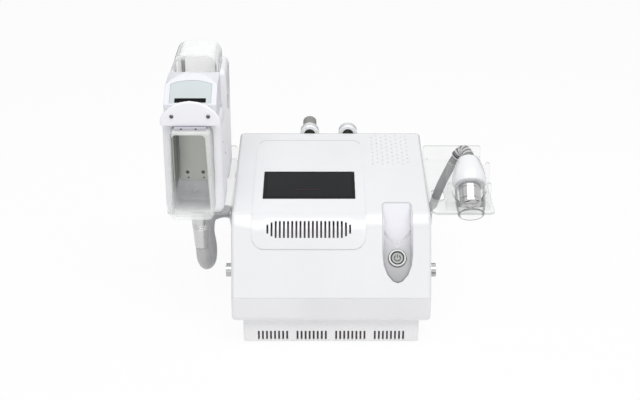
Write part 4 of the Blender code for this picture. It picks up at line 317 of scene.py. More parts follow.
# Painted shadow: the grey of the fine line that stands for the shadow in the gap behind the fascia
SEAM_SHADOW_GREY = plastic("seam_painted_shadow", (0.5, 0.5, 0.51), 0.6, tone=0.1, relief=0.3)
CLOTH = plastic("speaker_cloth", (0.42, 0.42, 0.43), 0.8, tone=0.1, grain=2200, relief=0.6)
RUBBER_FOOT = rubber("foot_rubber", (0.03, 0.03, 0.03), 0.8)
BIG_HOSE = rubber("big_hose_rubber", (0.52, 0.52, 0.525), 0.42)
SMALL_HOSE = rubber("small_hose_rubber", (0.28, 0.28, 0.285), 0.45)
STEEL = metal("brushed_steel", (0.5, 0.5, 0.51), 0.3, (1, 1, 12))
RING_STEEL = metal("ring_steel", (0.33, 0.33, 0.33), 0.42, (1, 1, 1), 500)
BUTTON_STEEL = metal("button_steel", (0.24, 0.25, 0.24), 0.5, (1, 14, 14), 700)
COLLAR_STEEL = metal("collar_steel", (0.64, 0.64, 0.64), 0.28, (14, 14, 1), 260, 0.14)
PLATE = metal("cold_plate_aluminium", (0.34, 0.35, 0.325), 0.36, (12, 12, 1), 320, 0.1)
PLATE_PALE = metal("cold_plate_pale", (0.93, 0.93, 0.92), 0.45, (12, 12, 1), 320, 0.04, metallic=0.0)
HEAD_STEEL = metal("polished_head_steel", (0.5, 0.5, 0.5), 0.12, (1, 1, 1), 260, 0.06, 0.05)
SCREW_STEEL = metal("screw_steel", (0.12, 0.12, 0.125), 0.35, (1, 1, 1), 800)
ALLOY = metal("anodised_alloy", (0.55, 0.55, 0.57), 0.38, (1, 10, 10), 320)
TRAY_CLEAR = clear("tray_acrylic", (0.74, 0.75, 0.75), 0.08, 0.5, haze=0.02)
TRAY_EDGE = clear("tray_acrylic_edge", (0.42, 0.43, 0.43), 0.45, 0.85)
CUP_CLEAR = clear("cup_polycarbonate", (0.92, 0.935, 0.925), 0.3, 0.8, 0.12, 0.03)
CUP_RIM = clear("cup_polycarbonate_rim", (0.92, 0.935, 0.93), 0.85, 0.97, 0.1, 0.0)
WAND_LIP = clear("wand_lip_polycarbonate", (0.25, 0.26, 0.26), 0.5, 0.85)
WAND_CLEAR = clear("wand_polycarbonate", (0.2, 0.21, 0.21), 0.03, 0.85, turn=(0.44, 0.74))

# Painted shade and painted reflection: the recess's colour darkens from its top facet down to its rounded
# foot, where the deep glossy recess would reflect the dark floor
RECESS_FOOT_Z, RECESS_HEAD_Z = 0.115, 0.22
RECESS_SHADE_TONES = ((0.0, 0.28), (0.22, 0.46), (0.4, 0.56), (0.62, 0.8), (0.72, 0.88), (0.9, 0.9))
recess_tree = PALE.node_tree
recess_colour = recess_tree.nodes["Principled BSDF"].inputs["Base Color"]
recess_place = add(recess_tree, "TexCoord")
recess_split = add(recess_tree, "SeparateXYZ")
put(recess_tree, recess_place.outputs["Object"], recess_split.inputs[0])
recess_height = spread(recess_tree, recess_split.outputs["Z"], 0, 1, RECESS_FOOT_Z, RECESS_HEAD_Z)
recess_stops = [(place, (level, level, min(1, level * 1.02))) for place, level in RECESS_SHADE_TONES]
recess_painted_shade = ramp(recess_tree, recess_height, recess_stops)
recess_base = recess_colour.links[0].from_socket
put(recess_tree, mix(recess_tree, 1, recess_base, recess_painted_shade, "MULTIPLY"), recess_colour)


# Shapes

SHARP_ANGLE = 35
BEVEL_ANGLE = 40
NORMAL_WEIGHT = 50
MERGE_DISTANCE = 0.01
FLAT_ANGLE = 0.6
SEAM_DISTANCE = 0.001
HOSE_SHARP_ANGLE = 60
TINY = 1e-6
CROSS_REACH, CROSS_WIDTH = 1.1, 0.22


def mesh_from(name, shape):
    """Makes a mesh of a bmesh, with its faces turned outwards."""
    bmesh.ops.recalc_face_normals(shape, faces=shape.faces)
    mesh = bpy.data.meshes.new(name)
    shape.to_mesh(mesh)
    shape.free()
    if "custom_normal" in mesh.attributes:
        mesh.attributes.remove(mesh.attributes["custom_normal"])
    return mesh


def finish_mesh(name, shape, material, body, replaces=(), angle=SHARP_ANGLE, bevel=0.0, segments=2):
    """Makes a smooth piece on its body, with rounded edges when a bevel is given; body None leaves it on no
    body.
    """
    mesh = mesh_from(name, shape)
    mesh.materials.clear()
    for each in material if isinstance(material, (list, tuple)) else [material]:
        mesh.materials.append(each)
    mesh.shade_smooth()
    mesh.set_sharp_from_angle(angle=math.radians(angle))
    item = link(bpy.data.objects.new(name, mesh))
    if bevel:
        rounding = item.modifiers.new("round", "BEVEL")
        rounding.width = bevel * MM
        rounding.segments = segments
        rounding.limit_method = "ANGLE"
        rounding.angle_limit = math.radians(BEVEL_ANGLE)
        rounding.harden_normals = False
    if body:
        weights = item.modifiers.new("weights", "WEIGHTED_NORMAL")
        weights.keep_sharp = True
        weights.weight = NORMAL_WEIGHT
        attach(item, body)
    if replaces:
        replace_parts(item, *replaces)
    return item


def skin(node, material, angle=SHARP_ANGLE, bevel=0.0, segments=2):
    """Copies a CAD node's mesh, cleans it for smooth shading and stands for the node."""
    shape = bmesh.new()
    shape.from_mesh(NODES[node].data)
    bmesh.ops.remove_doubles(shape, verts=shape.verts, dist=MERGE_DISTANCE * MM)
    flat = math.radians(FLAT_ANGLE)
    bmesh.ops.dissolve_limit(shape, angle_limit=flat, verts=shape.verts, edges=shape.edges)
    body = NODES[node]["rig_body"]
    return finish_mesh(f"{node}_skin", shape, material, body, (node,), angle, bevel, segments)


def bar(shape, rings):
    """Closes a skin over rings of corners, capped at both ends, and gives the faces of its bands."""
    bands = []
    for first, second in zip(rings, rings[1:]):
        corners = [(first[a], first[b], second[b], second[a]) for a, b in ring_of(len(first))]
        bands.append([shape.faces.new(four) for four in corners])
    shape.faces.new(rings[0])
    shape.faces.new(rings[-1])
    return bands


def toward(axis):
    """The turn that points up along an axis."""
    return Vector(axis).to_track_quat("Z", "Y").to_matrix()


def lathe(name, start, axis, profile, material, body, replaces=(), sides=56, angle=SHARP_ANGLE):
    """A turned piece from a profile of radius and height in millimetres."""
    spot = Matrix.Translation(start) @ toward(axis).to_4x4()
    shape = bmesh.new()
    rings = []
    for radius, height in profile:
        if radius < TINY:
            rings.append([shape.verts.new(spot @ Vector((0, 0, height * MM)))])
            continue
        ring = []
        for side in range(sides):
            turn = 2 * math.pi * side / sides
            local = Vector((radius * MM * math.cos(turn), radius * MM * math.sin(turn), height * MM))
            ring.append(shape.verts.new(spot @ local))
        rings.append(ring)
    for first, second in zip(rings, rings[1:]):
        for side, after in ring_of(sides):
            corners = []
            for ring, index in ((first, side), (first, after), (second, after), (second, side)):
                corner = ring[index % len(ring)]
                if corner not in corners:
                    corners.append(corner)
            if len(corners) > 2:
                shape.faces.new(corners)
    bmesh.ops.remove_doubles(shape, verts=shape.verts, dist=SEAM_DISTANCE * MM)
    return finish_mesh(name, shape, material, body, replaces, angle)


def sweep(name, points, radii, material, body, replaces=(), sides=28):
    """A round tube along points, with closed ends."""
    shape = bmesh.new()
    rings = []
    normal = None
    for i, point in enumerate(points):
        before, after = points[max(i - 1, 0)], points[min(i + 1, len(points) - 1)]
        along = (after - before).normalized()
        if normal is None:
            normal = along.orthogonal().normalized()
        normal = (normal - along * normal.dot(along)).normalized()
        other = along.cross(normal)
        radius = radii[i] if isinstance(radii, list) else radii
        ring = []
        for side in range(sides):
            turn = 2 * math.pi * side / sides
            reach = (normal * math.cos(turn) + other * math.sin(turn)) * radius
            ring.append(shape.verts.new(point + reach))
        rings.append(ring)
    bar(shape, rings)
    angle = SHARP_ANGLE if body else HOSE_SHARP_ANGLE
    return finish_mesh(name, shape, material, body, replaces, angle)


def prism(name, outline, thickness, centre, turn, material, body, bevel=0.0):
    """A flat outline in millimetres with a thickness, centred on its own plane."""
    spot = Matrix.Translation(centre) @ turn.to_4x4()
    shape = bmesh.new()
    rings = []
    for z in (-thickness / 2, thickness / 2):
        rings.append([shape.verts.new(spot @ (Vector((x, y, z)) * MM)) for x, y in outline])
    bar(shape, rings)
    return finish_mesh(name, shape, material, body, bevel=bevel)


def rounded(low_x, low_y, high_x, high_y, radius, steps=6, top_radius=None):
    """A rectangle's outline with round corners; the upper two may have their own radius."""
    top = radius if top_radius is None else top_radius
    corners = (
        (high_x - radius, low_y + radius, -90, radius),
        (high_x - top, high_y - top, 0, top),
        (low_x + top, high_y - top, 90, top),
        (low_x + radius, low_y + radius, 180, radius),
    )
    points = []
    for x, y, start, reach in corners:
        for step in range(steps + 1):
            angle = math.radians(start + 90 * step / steps)
            points.append((x + reach * math.cos(angle), y + reach * math.sin(angle)))
    return points


def screw_head(name, centre, axis, radius, material, body, height=1.2):
    """A domed screw head with a cross cut into it."""
    dome = ((0, 0.95), (0.35, 0.9), (0.75, 0.7), (1, 0.25))
    profile = [(radius * out, height * up) for out, up in dome] + [(radius, -0.4), (0, -0.4)]
    item = lathe(name, centre, axis, profile, material, body, sides=28)
    cutter = bmesh.new()
    reach, width = radius * CROSS_REACH, radius * CROSS_WIDTH
    for size in ((reach, width, height), (width, reach, height)):
        made = bmesh.ops.create_cube(cutter, size=1)["verts"]
        bmesh.ops.scale(cutter, vec=Vector(size) * MM, verts=made)
    spot = Matrix.Translation(centre + Vector(axis) * height * MM) @ toward(axis).to_4x4()
    bmesh.ops.transform(cutter, matrix=spot, verts=cutter.verts)
    cut_with(item, cutter)
    return item


def cut_with(item, cutter):
    """Cuts a bmesh out of a piece and applies the cut."""
    other = link(bpy.data.objects.new("cutter", mesh_from("cutter", cutter)))
    boolean = item.modifiers.new("cut", "BOOLEAN")
    boolean.operation = "DIFFERENCE"
    boolean.solver = "EXACT"
    boolean.use_self = True
    boolean.object = other
    for modifier in item.modifiers:
        modifier.show_viewport = modifier == boolean
    graph = bpy.context.evaluated_depsgraph_get()
    made = bpy.data.meshes.new_from_object(item.evaluated_get(graph), depsgraph=graph)
    made.name = item.data.name
    item.modifiers.remove(boolean)
    for modifier in item.modifiers:
        modifier.show_viewport = True
    item.data = made
    made.set_sharp_from_angle(angle=math.radians(SHARP_ANGLE))
    bpy.data.objects.remove(other, do_unlink=True)


# Hoses

SPLINE_PARTS = 24
LINE_PARTS = 3
LEAD_SHARE = 2.3
COIL_STEPS = 24
COIL_GAP = 0.8
COIL_INWARD = 0.25
COIL_STEP_UP = 0.3
BIG_RADIUS = 11
SMALL_RADIUS = 7.5
CLEARANCE = 0.3
FLOOR_GAP = 0.05
PANEL_BACK = 349
SOCKET_LENGTH = 14
SOCKET_Z = 84
COLLAR_X = -217
COLLAR_DEPTH = 84
COLLAR_LOW = 149
COLLAR_TOP = 217


def fine_line(points, parts):
    """More points on a smooth curve through all of the points."""
    fine = []
    ends = [points[0] * 2 - points[1], *points, points[-1] * 2 - points[-2]]
    for i in range(1, len(ends) - 2):
        a, b, c, d = ends[i - 1 : i + 3]
        square, cube = a * 2 - b * 5 + c * 4 - d, b * 3 - a - c * 3 + d
        for k in range(parts):
            t = k / parts
            fine.append((b * 2 + (c - a) * t + square * t**2 + cube * t**3) / 2)
    fine.append(points[-1])
    return fine


def smooth_line(points, step):
    """Evenly spaced points on a smooth curve through the points given."""
    fine = fine_line(points, SPLINE_PARTS)
    lengths = [0.0]
    for a, b in zip(fine, fine[1:]):
        lengths.append(lengths[-1] + (b - a).length)
    count = max(2, round(lengths[-1] / step))
    line = []
    place = 0
    for k in range(count + 1):
        goal = lengths[-1] * k / count
        while place < len(fine) - 2 and lengths[place + 1] < goal:
            place += 1
        share = (goal - lengths[place]) / max(lengths[place + 1] - lengths[place], TINY)
        line.append(fine[place].lerp(fine[place + 1], min(share, 1.0)))
    return line


def hose_line(lead_points, radius, coil_x, coil_depth, coil_radius, turns, direction, socket_x):
    """The whole line of a hose: to the floor, round its coil and up to its socket."""
    rest = radius + FLOOR_GAP
    pitch = 2 * radius + COIL_GAP
    inward = 2 * radius * COIL_INWARD
    level = math.sqrt(pitch**2 - inward**2)
    start = math.pi if direction < 0 else 0.0
    coil = []
    for i in range(round(turns * COIL_STEPS) + 1):
        turn = i / COIL_STEPS
        step_up = max(0.0, 1 - (1 - turn % 1) / COIL_STEP_UP)
        height = level * (turn // 1 + step_up**2 * (3 - 2 * step_up))
        reach = coil_radius - inward * turn
        angle = start + direction * 2 * math.pi * turn
        coil.append(at(coil_x + reach * math.cos(angle), coil_depth + reach * math.sin(angle), rest + height))
    joint = coil[0] - BACK * radius * MM
    lead = smooth_line([*lead_points, joint - BACK * 2 * radius * MM, joint], radius * MM * LEAD_SHARE)
    lead = [Vector((p.x, p.y, max(p.z, rest * MM))) for p in lead]
    end = at(socket_x, PANEL_BACK + 2 * CLEARANCE + SOCKET_LENGTH, SOCKET_Z)
    last = coil[-1]
    middle = Vector((end.x, (last.y + end.y) / 2, (last.z + SOCKET_Z * MM) / 2 + radius / 2 * MM))
    lift = last + Vector((0, -2 * radius * MM, radius / 2 * MM))
    rise = [last, lift, middle, end + BACK * 2 * radius * MM, end]
    tail = smooth_line(rise, radius * MM * LEAD_SHARE)
    return [*lead[:-1], *coil, *tail[1:]]


def measure(points):
    """A line's length."""
    return sum((b - a).length for a, b in zip(points, points[1:]))


# The routes' places are the same as those of the CAD hoses
BIG_ROUTE = (
    (-214.5, 98, 110), (-209.5, 120, 100), (-208, 143, 112), (-213, 158, 136), (-213, 170, 155),
    (-204, 183, 162), (-189, 201, 157), (-179, 226, 144), (-177.6, 262, 123), (-177.6, 305, 98),
    (-177.6, 345, 70), (-179, 380, 40), (-182, 415, 18), (-184.5, 445, 11.05),
)
SMALL_ROUTE = (
    (201, 144, 266), (191, 146, 242), (182, 147, 217), (178.8, 153, 202), (177.6, 168, 186),
    (175, 192, 170), (173.8, 216, 148), (173.8, 240, 110), (174.5, 260, 70), (176.5, 285, 30),
    (180, 318, 10), (184, 362, 7.55), (190, 420, 7.55), (195, 490, 7.55),
)
RELIEF_ROUTE = ((223.5, 135, 301), (217.5, 140, 298), (211.5, 143, 288))
BIG_SOCKET_X, SMALL_SOCKET_X = 36.75, 74
# Each coil's place across and back, its radius, turns and sense, and its socket
BIG_COIL = (-70, 492, 115, 1.5, -1, BIG_SOCKET_X)
SMALL_COIL = (121, 574, 76, 2.5, 1, SMALL_SOCKET_X)
BIG_SIDES, SMALL_SIDES = 36, 30
WAND_MOUTH = at(227.6, 37, 229)
WAND_LEAN = math.radians(38)
WAND_AXIS = Vector((0, math.cos(WAND_LEAN), math.sin(WAND_LEAN)))
WAND_TAIL = 105
RELIEF_ROOT = 10.5
RELIEF_STEP = 0.8
RELIEF_RIB = 1.3

collar_end = at(COLLAR_X, COLLAR_DEPTH, COLLAR_LOW)
big_points = [collar_end - UP * BIG_RADIUS * share * MM for share in (0, 0.7, 1.4)]
big_points += [at(*place) for place in BIG_ROUTE]
big_line = fine_line(hose_line(big_points, BIG_RADIUS, *BIG_COIL), LINE_PARTS)
big_nodes = ("left_hose", "left_hose_coil")
big_hose = sweep("left_hose_skin", big_line, BIG_RADIUS * MM, BIG_HOSE, None, big_nodes, BIG_SIDES)
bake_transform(big_hose)

relief_start = WAND_MOUTH + WAND_AXIS * (WAND_TAIL - RELIEF_ROOT / 2 + CLEARANCE) * MM
relief_points = [relief_start + WAND_AXIS * RELIEF_ROOT * share * MM for share in (0, 0.5, 1)]
relief_points += [at(*place) for place in RELIEF_ROUTE]
relief_line = smooth_line(relief_points, RELIEF_STEP * MM)
cad_relief = smooth_line(relief_points, RELIEF_RIB * 1.7 * MM)
relief_axis = (cad_relief[-1] - cad_relief[-2]).normalized()
small_start = cad_relief[-1] + relief_axis * CLEARANCE * MM
small_points = [small_start + relief_axis * SMALL_RADIUS * share * MM for share in (0, 0.5, 1)]
small_points += [at(*place) for place in SMALL_ROUTE]
small_line = fine_line(hose_line(small_points, SMALL_RADIUS, *SMALL_COIL), LINE_PARTS)
small_nodes = ("right_hose", "right_hose_coil")
small_hose = sweep(
    "right_hose_skin", small_line, SMALL_RADIUS * MM, SMALL_HOSE, None, small_nodes, SMALL_SIDES
)
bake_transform(small_hose)

# The bent strain relief: a core with rounded ribs, then a smooth ferrule with a dark and a pale ring
RELIEF_WIDE, RELIEF_NARROW = 10.5, 8.6
RELIEF_FERRULE = 9.2
RIBS_FROM, RIBS_TO = 0.22, 0.9
RIBS = 5
RIB_FIRST, RIB_PITCH = 0.28, 0.13
RIB_REACH = 1.1
RIB_SECTION = ((2, -1.7), (0.6, -1.7), (0, -1), (0, 1), (0.6, 1.7), (2, 1.7), (2, -1.7))
RING_BORE = 8.4
RING_ROUND = 0.3

relief_radii = []
run = measure(relief_line)
gone = 0.0
for i, point in enumerate(relief_line):
    gone += (point - relief_line[i - 1]).length if i else 0.0
    share = gone / run
    radius = RELIEF_WIDE + (RELIEF_NARROW - RELIEF_WIDE) * share
    if RIBS_FROM < share < RIBS_TO:
        radius -= RIB_REACH
    if share >= RIBS_TO:
        radius = RELIEF_FERRULE
    relief_radii.append(radius * MM)
for name, start, length, radius, material, slot in (
    ("relief_dark_ring", -3.4, 2.6, 9.5, DARK, "dark"),
    ("relief_pale_ring", -0.8, 1.6, 9.35, LIGHTENED_WHITE_SATIN, "white_matte"),
):
    profile = [(RING_BORE, 0), (radius - RING_ROUND, 0), (radius, RING_ROUND), (radius, length - RING_ROUND)]
    profile += [(radius - RING_ROUND, length), (RING_BORE, length), (RING_BORE, 0)]
    start_point = relief_line[-1] + relief_axis * start * MM
    lathe(name, start_point, relief_axis, profile, material, RIGHT_BODY, sides=44)
for rib in range(RIBS):
    index = round((RIB_FIRST + RIB_PITCH * rib) * (len(relief_line) - 1))
    rib_axis = relief_line[index + 1] - relief_line[index - 1]
    outer = relief_radii[index] / MM + RIB_REACH
    profile = [(outer - inset, height) for inset, height in RIB_SECTION]
    name = f"relief_rib_{rib + 1}"
    lathe(name, relief_line[index], rib_axis, profile, RIB_GREY, RIGHT_BODY, sides=36)
sweep("strain_relief_ribs", relief_line, relief_radii, GREY, RIGHT_BODY, ("right_strain_relief",), 36)


# Console casing

HOLES = 8
HOLE_X = (74.6, 137.0)
HOLE_DEPTH = (236.0, 334.0)
HOLE_STAGGER = 3.0
HOLE_RADIUS, HOLE_LENGTH = 1.25, 2.4
CLOTH_RADIUS, CLOTH_THICKNESS, CLOTH_DROP = 1.2, 0.2, 1.05
TOP_SLOPE = 30 / 281
CREASE_DEPTH = 70
CREASE_Z = 217


def top_z(depth):
    """The height of the casing's top at a place towards the back."""
    return CREASE_Z + (depth - CREASE_DEPTH) * TOP_SLOPE


def plug(shape, radius, length, spot):
    """A short round bar added to a bmesh."""
    size = radius * MM
    bmesh.ops.create_cone(
        shape, cap_ends=True, segments=12, radius1=size, radius2=size, depth=length * MM, matrix=spot
    )


casing = skin("upper_casing", WHITE)
top_turn = Matrix.Rotation(math.atan(TOP_SLOPE), 3, "X")
holes = bmesh.new()
cloth = bmesh.new()
for row in range(HOLES):
    for column in range(HOLES):
        x = HOLE_X[0] + (HOLE_X[1] - HOLE_X[0]) * column / (HOLES - 1)
        depth = HOLE_DEPTH[0] + (HOLE_DEPTH[1] - HOLE_DEPTH[0]) * row / (HOLES - 1)
        depth += HOLE_STAGGER if column % 2 else -HOLE_STAGGER
        spot = Matrix.Translation(at(x, depth, top_z(depth))) @ top_turn.to_4x4()
        plug(holes, HOLE_RADIUS, HOLE_LENGTH, spot)
        plug(cloth, CLOTH_RADIUS, CLOTH_THICKNESS, spot @ Matrix.Translation((0, 0, -CLOTH_DROP * MM)))
cut_with(casing, holes)
finish_mesh("speaker_cloth", cloth, CLOTH, "root")
skin("lower_pan", PAN_WHITE)
skin("plinth", LIGHTENED_WHITE_SATIN, bevel=0.3, segments=1)
skin("display_fascia", WHITE, bevel=0.35)

# Dark gauzes behind the two vents, and the feet
SCREEN_X = -37
VENT_RISE, VENT_RUN = 19, 22
VENT_HALF_WIDTH, VENT_HALF_HEIGHT = 74, 15
vent_turn = Matrix.Rotation(math.atan2(VENT_RISE, VENT_RUN), 3, "X")
vent_centre = at(SCREEN_X, 48, 198) + vent_turn @ Vector((0, 1.5 * MM, -9.5 * MM))
outline = rounded(-VENT_HALF_WIDTH, -VENT_HALF_HEIGHT, VENT_HALF_WIDTH, VENT_HALF_HEIGHT, 3)
prism("vent_gauze_upper", outline, 1.0, vent_centre, vent_turn, GAUZE, "root")
outline = [(-138, -0.5), (138, -0.5), (138, 0.5), (-138, 0.5)]
prism("plinth_gauze", outline, 24.5, at(0, 21.5, 17.75), Matrix.Identity(3), GAUZE, "root", 0.2)
FOOT_PROFILE = [(0, 0.02), (10.2, 0.02), (10.8, 0.5), (10.8, 1.4), (0, 1.4)]
for number, (x, depth) in enumerate(((-121, 42), (121, 42), (-121, 309), (121, 309))):
    name = f"foot_pad_{number + 1}"
    lathe(name, at(x, depth, 0), UP, FOOT_PROFILE, RUBBER_FOOT, "root", sides=36)

# Touch screen

skin("touch_screen", GLASS, bevel=0.25)
SCREEN_MIDDLE = 158
PICTURE_THICKNESS = 0.06
screen_centre = at(SCREEN_X, SCREEN_MIDDLE, top_z(SCREEN_MIDDLE))


def on_screen(name, low_x, low_y, high_x, high_y, lift, material):
    """A thin sheet on the screen, in millimetres from the screen's middle."""
    middle = Vector(((low_x + high_x) / 2 * MM, (low_y + high_y) / 2 * MM, lift * MM))
    half_x, half_y = (high_x - low_x) / 2, (high_y - low_y) / 2
    outline = rounded(-half_x, -half_y, half_x, half_y, min(1.0, half_y * 0.4), 3)
    centre = screen_centre + top_turn @ middle
    prism(name, outline, PICTURE_THICKNESS, centre, top_turn, material, "root")


# A fine raised grey line, a painted shadow of the gap at the fascia, follows the fascia's rear edge and its
# two rear corners
SEAM_CORNER = 15
SEAM_INSET = 3.5
SEAM_STEPS, SEAM_TURN = 8, 10
SEAM_SECTION = ((-0.5, 1.3), (0.6, 1.3), (0.5, 1.7), (-0.4, 1.7))
fascia_low, fascia_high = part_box("display_fascia")
seam_x = (fascia_low.x + fascia_high.x) / 2 / MM
seam_half = (fascia_high.x - fascia_low.x) / 2 / MM - SEAM_INSET - SEAM_CORNER
seam_depth = (fascia_high.y - FRONT_Y) / MM - SEAM_INSET - SEAM_CORNER
seam = bmesh.new()
seam_rows = []
for side in (-1, 1):
    for step in range(SEAM_STEPS + 1):
        turn = math.radians(SEAM_TURN * (1 + (step if side < 0 else SEAM_STEPS - step)))
        row = []
        for offset, lift in SEAM_SECTION:
            x = seam_x + side * (seam_half + math.cos(turn) * (SEAM_CORNER + offset))
            depth = seam_depth + math.sin(turn) * (SEAM_CORNER + offset)
            row.append(seam.verts.new(at(x, depth, top_z(depth) + lift)))
        seam_rows.append(row)
bar(seam, seam_rows)
finish_mesh("fascia_seam", seam, SEAM_SHADOW_GREY, "root")

on_screen("screen_picture", -72, -37, 72, 40, 1.52, PICTURE)
on_screen("screen_line", -25, -15.6, 17, -14.6, 1.57, RED_LINE)

# Power recess, ring and button

RECESS_X = 109.5
PAN_TOP, FRONT_LEAN = 95, 48 / 103
RECESS_RISE, RECESS_HEAD = 22, 104
HUB_UP = 42.5
SWITCH_SIDES = 72
RING_PROFILE = [
    (0, -5.5), (11.2, -5.5), (11.2, 1.8), (11.5, 2.3), (12.1, 2.5), (13.9, 2.5), (14.7, 2.2),
    (15.3, 1.5), (15.5, 0.9), (15.5, 0), (13.5, 0), (13.5, -24), (0, -24),
]
BUTTON_PROFILE = [
    (0, 1.55), (6.4, 1.62), (9.4, 1.7), (10.1, 1.6), (10.6, 1.1), (10.8, 0.6), (10.8, -4.0), (0, -4.0),
]
BUTTON_RIM_PROFILE = [
    (9.0, 1.5), (9.2, 1.95), (9.8, 2.0), (10.6, 1.7), (10.95, 1.1), (10.95, 0), (9.0, 0), (9.0, 1.5),
]
SYMBOL_LIFT, SYMBOL_THICKNESS = 1.66, 0.12
SYMBOL_SECTION = ((4.1, 0), (5.7, 0), (5.7, SYMBOL_THICKNESS), (4.1, SYMBOL_THICKNESS))
SYMBOL_START, SYMBOL_SWEEP, SYMBOL_STEPS = 125, 290, 24
FACET_HALF, FACET_TIP, FACET_LEAN = 22.6, 63.5, 1.18

skin("power_panel", PALE, bevel=0.4)
recess_low = at(RECESS_X, RECESS_RISE * FRONT_LEAN, PAN_TOP + RECESS_RISE)
recess_high = at(RECESS_X, RECESS_HEAD, top_z(RECESS_HEAD))
recess_up = (recess_high - recess_low).normalized()
recess_out = Vector((1, 0, 0)).cross(recess_up)
recess_turn = Matrix((Vector((1, 0, 0)), recess_up, recess_out)).transposed()
hub = recess_low + recess_up * HUB_UP * MM + recess_out * CLEARANCE * MM
for name, profile, material, body, slot, nodes in (
    ("switch_ring", RING_PROFILE, RING_STEEL, "root", "steel", ("power_switch_body",)),
    ("switch_button", BUTTON_PROFILE, BUTTON_STEEL, "power_button", "steel", ("power_button",)),
    ("switch_button_rim", BUTTON_RIM_PROFILE, DARK, "power_button", "dark", ()),
):
    lathe(name, hub, recess_out, profile, material, body, nodes, SWITCH_SIDES)
symbol = bmesh.new()
symbol_spot = Matrix.Translation(hub + recess_out * SYMBOL_LIFT * MM) @ recess_turn.to_4x4()
rows = []
for step in range(SYMBOL_STEPS + 1):
    turn = math.radians(SYMBOL_START + SYMBOL_SWEEP * step / SYMBOL_STEPS)
    corners = [Vector((reach * math.cos(turn), reach * math.sin(turn), z)) for reach, z in SYMBOL_SECTION]
    rows.append([symbol.verts.new(symbol_spot @ (corner * MM)) for corner in corners])
bar(symbol, rows)
stroke = bmesh.ops.create_cube(symbol, size=1)["verts"]
bmesh.ops.scale(symbol, vec=Vector((1.5, 5.4, SYMBOL_THICKNESS)) * MM, verts=stroke)
stroke_place = Matrix.Translation(Vector((0, 3.6, SYMBOL_THICKNESS / 2)) * MM)
bmesh.ops.transform(symbol, matrix=symbol_spot @ stroke_place, verts=stroke)
finish_mesh("button_symbol", symbol, DARK, "power_button")

# The step from the facet to the recess's floor is a slope, not a wall
slope = bmesh.new()
rows = []
for x in (-FACET_HALF, 0, FACET_HALF):
    line = FACET_TIP + FACET_LEAN * abs(x)
    corners = [Vector((x, line + up, z)) * MM for up, z in ((0, 2.95), (0.3, -0.3), (-5.2, 0.03))]
    rows.append([slope.verts.new(recess_low + recess_turn @ corner) for corner in corners])
bar(slope, rows)
finish_mesh("recess_slope", slope, LIGHTENED_WHITE_SATIN, "root")

# Side knobs

for side in ("left", "right"):
    skin(f"{side}_side_knob", STEEL, bevel=0.25)

# Clear trays and cradle: the narrow faces of the sheets take the edge material

EDGE_AREA = 5.2e-4
BIG_SCREW, BIG_SCREW_HEIGHT = 3.2, 2.0


def node_screw(node, name, axis, material, body):
    """A screw head for a CAD screw, with its top at the screw's outer end."""
    low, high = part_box(node)
    reach = abs((high - low).dot(axis)) / 2 - BIG_SCREW_HEIGHT * MM
    centre = (low + high) / 2 + axis * reach
    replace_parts(screw_head(name, centre, axis, BIG_SCREW, material, body, BIG_SCREW_HEIGHT), node)


for node in ("left_tray", "right_tray", "right_cradle"):
    item = skin(node, [TRAY_CLEAR, TRAY_EDGE], bevel=0.35, segments=1)
    for face in item.data.polygons:
        face.material_index = 1 if face.area < EDGE_AREA and len(face.vertices) == 4 else 0
for side, sign in (("left", -1), ("right", 1)):
    for number in (1, 2):
        name = f"{side}_tray_screw_head_{number}"
        node_screw(f"{side}_tray_screw_{number}", name, Vector((sign, 0, 0)), STEEL, "root")

# Vacuum cooling handpieces

GRIP_X = -224
CUP_WALL = 3.0
CUP_FLARE = 30
RIM_FIRST, RIM_LAST = 8, 10


def tub(name, mouth, end, low, high, half, mouth_shape, radius, top_radius, body, node):
    """A clear cup: outside from its back to a flared rim, then inside to its back wall."""
    middle, half_top, half_bottom = mouth_shape
    flare = mouth + CUP_FLARE
    # Each row: depth, share of the flare, inset at the sides, inset above and below, inset of the corners
    rows = [(end, 0, 2, 2, 2), (end - 0.8, 0, 0.5, 0.5, 0), (end - 2.5, 0, 0, 0, 0), (flare, 0, 0, 0, 0)]
    for share in (0.25, 0.5, 0.75, 0.95):
        rows.append((flare - CUP_FLARE * share, share**2, 0, 0, 0))
    rows += [(mouth + 0.6, 1, 0, 0, 0), (mouth, 1, 0.9, 0.9, 0.9), (mouth, 1, 3.6, 3.4, 3)]
    rows.append((mouth + 1.0, 1, 4.4, 4.2, 3.4))
    for share in (0.75, 0.5, 0.25, 0.0):
        rows.append((flare - CUP_FLARE * share, share**2, CUP_WALL + 1.4 * share**2, CUP_WALL, 3.2))
    rows.append((end - CUP_WALL - 1.5, 0, CUP_WALL, CUP_WALL, 3))
    rows.append((end - CUP_WALL, 0, CUP_WALL + 1.5, CUP_WALL + 1.5, 4.5))
    shape = bmesh.new()
    rings = []
    for depth, ease, side, rise, corner in rows:
        bottom = half + (half_bottom - half) * ease - side
        top = half + (half_top - half) * ease - side
        outline = rounded(-bottom, low + rise, bottom, high - rise, radius - corner, 6, top_radius - corner)
        ring = []
        for x, z in outline:
            share = (z - low - rise) / (high - low - 2 * rise)
            scale = (bottom + (top - bottom) * share) / bottom
            ring.append(shape.verts.new(at(GRIP_X + (middle - GRIP_X) * ease + x * scale, depth, z)))
        rings.append(ring)
    for faces in bar(shape, rings)[RIM_FIRST : RIM_LAST + 1]:
        for face in faces:
            face.material_index = 1
    finish_mesh(name, shape, [CUP_CLEAR, CUP_RIM], body, (node,), 40)


tub("front_cup_clear", 29, 107, 223.5, 375.5, 34, (-226.5, 31, 36), 11, 11, FRONT_BODY, "front_cup")
tub("rear_cup_clear", 175, 253, 304.3, 456.3, 38, (-224, 38, 38), 11, 20, REAR_BODY, "rear_cup")

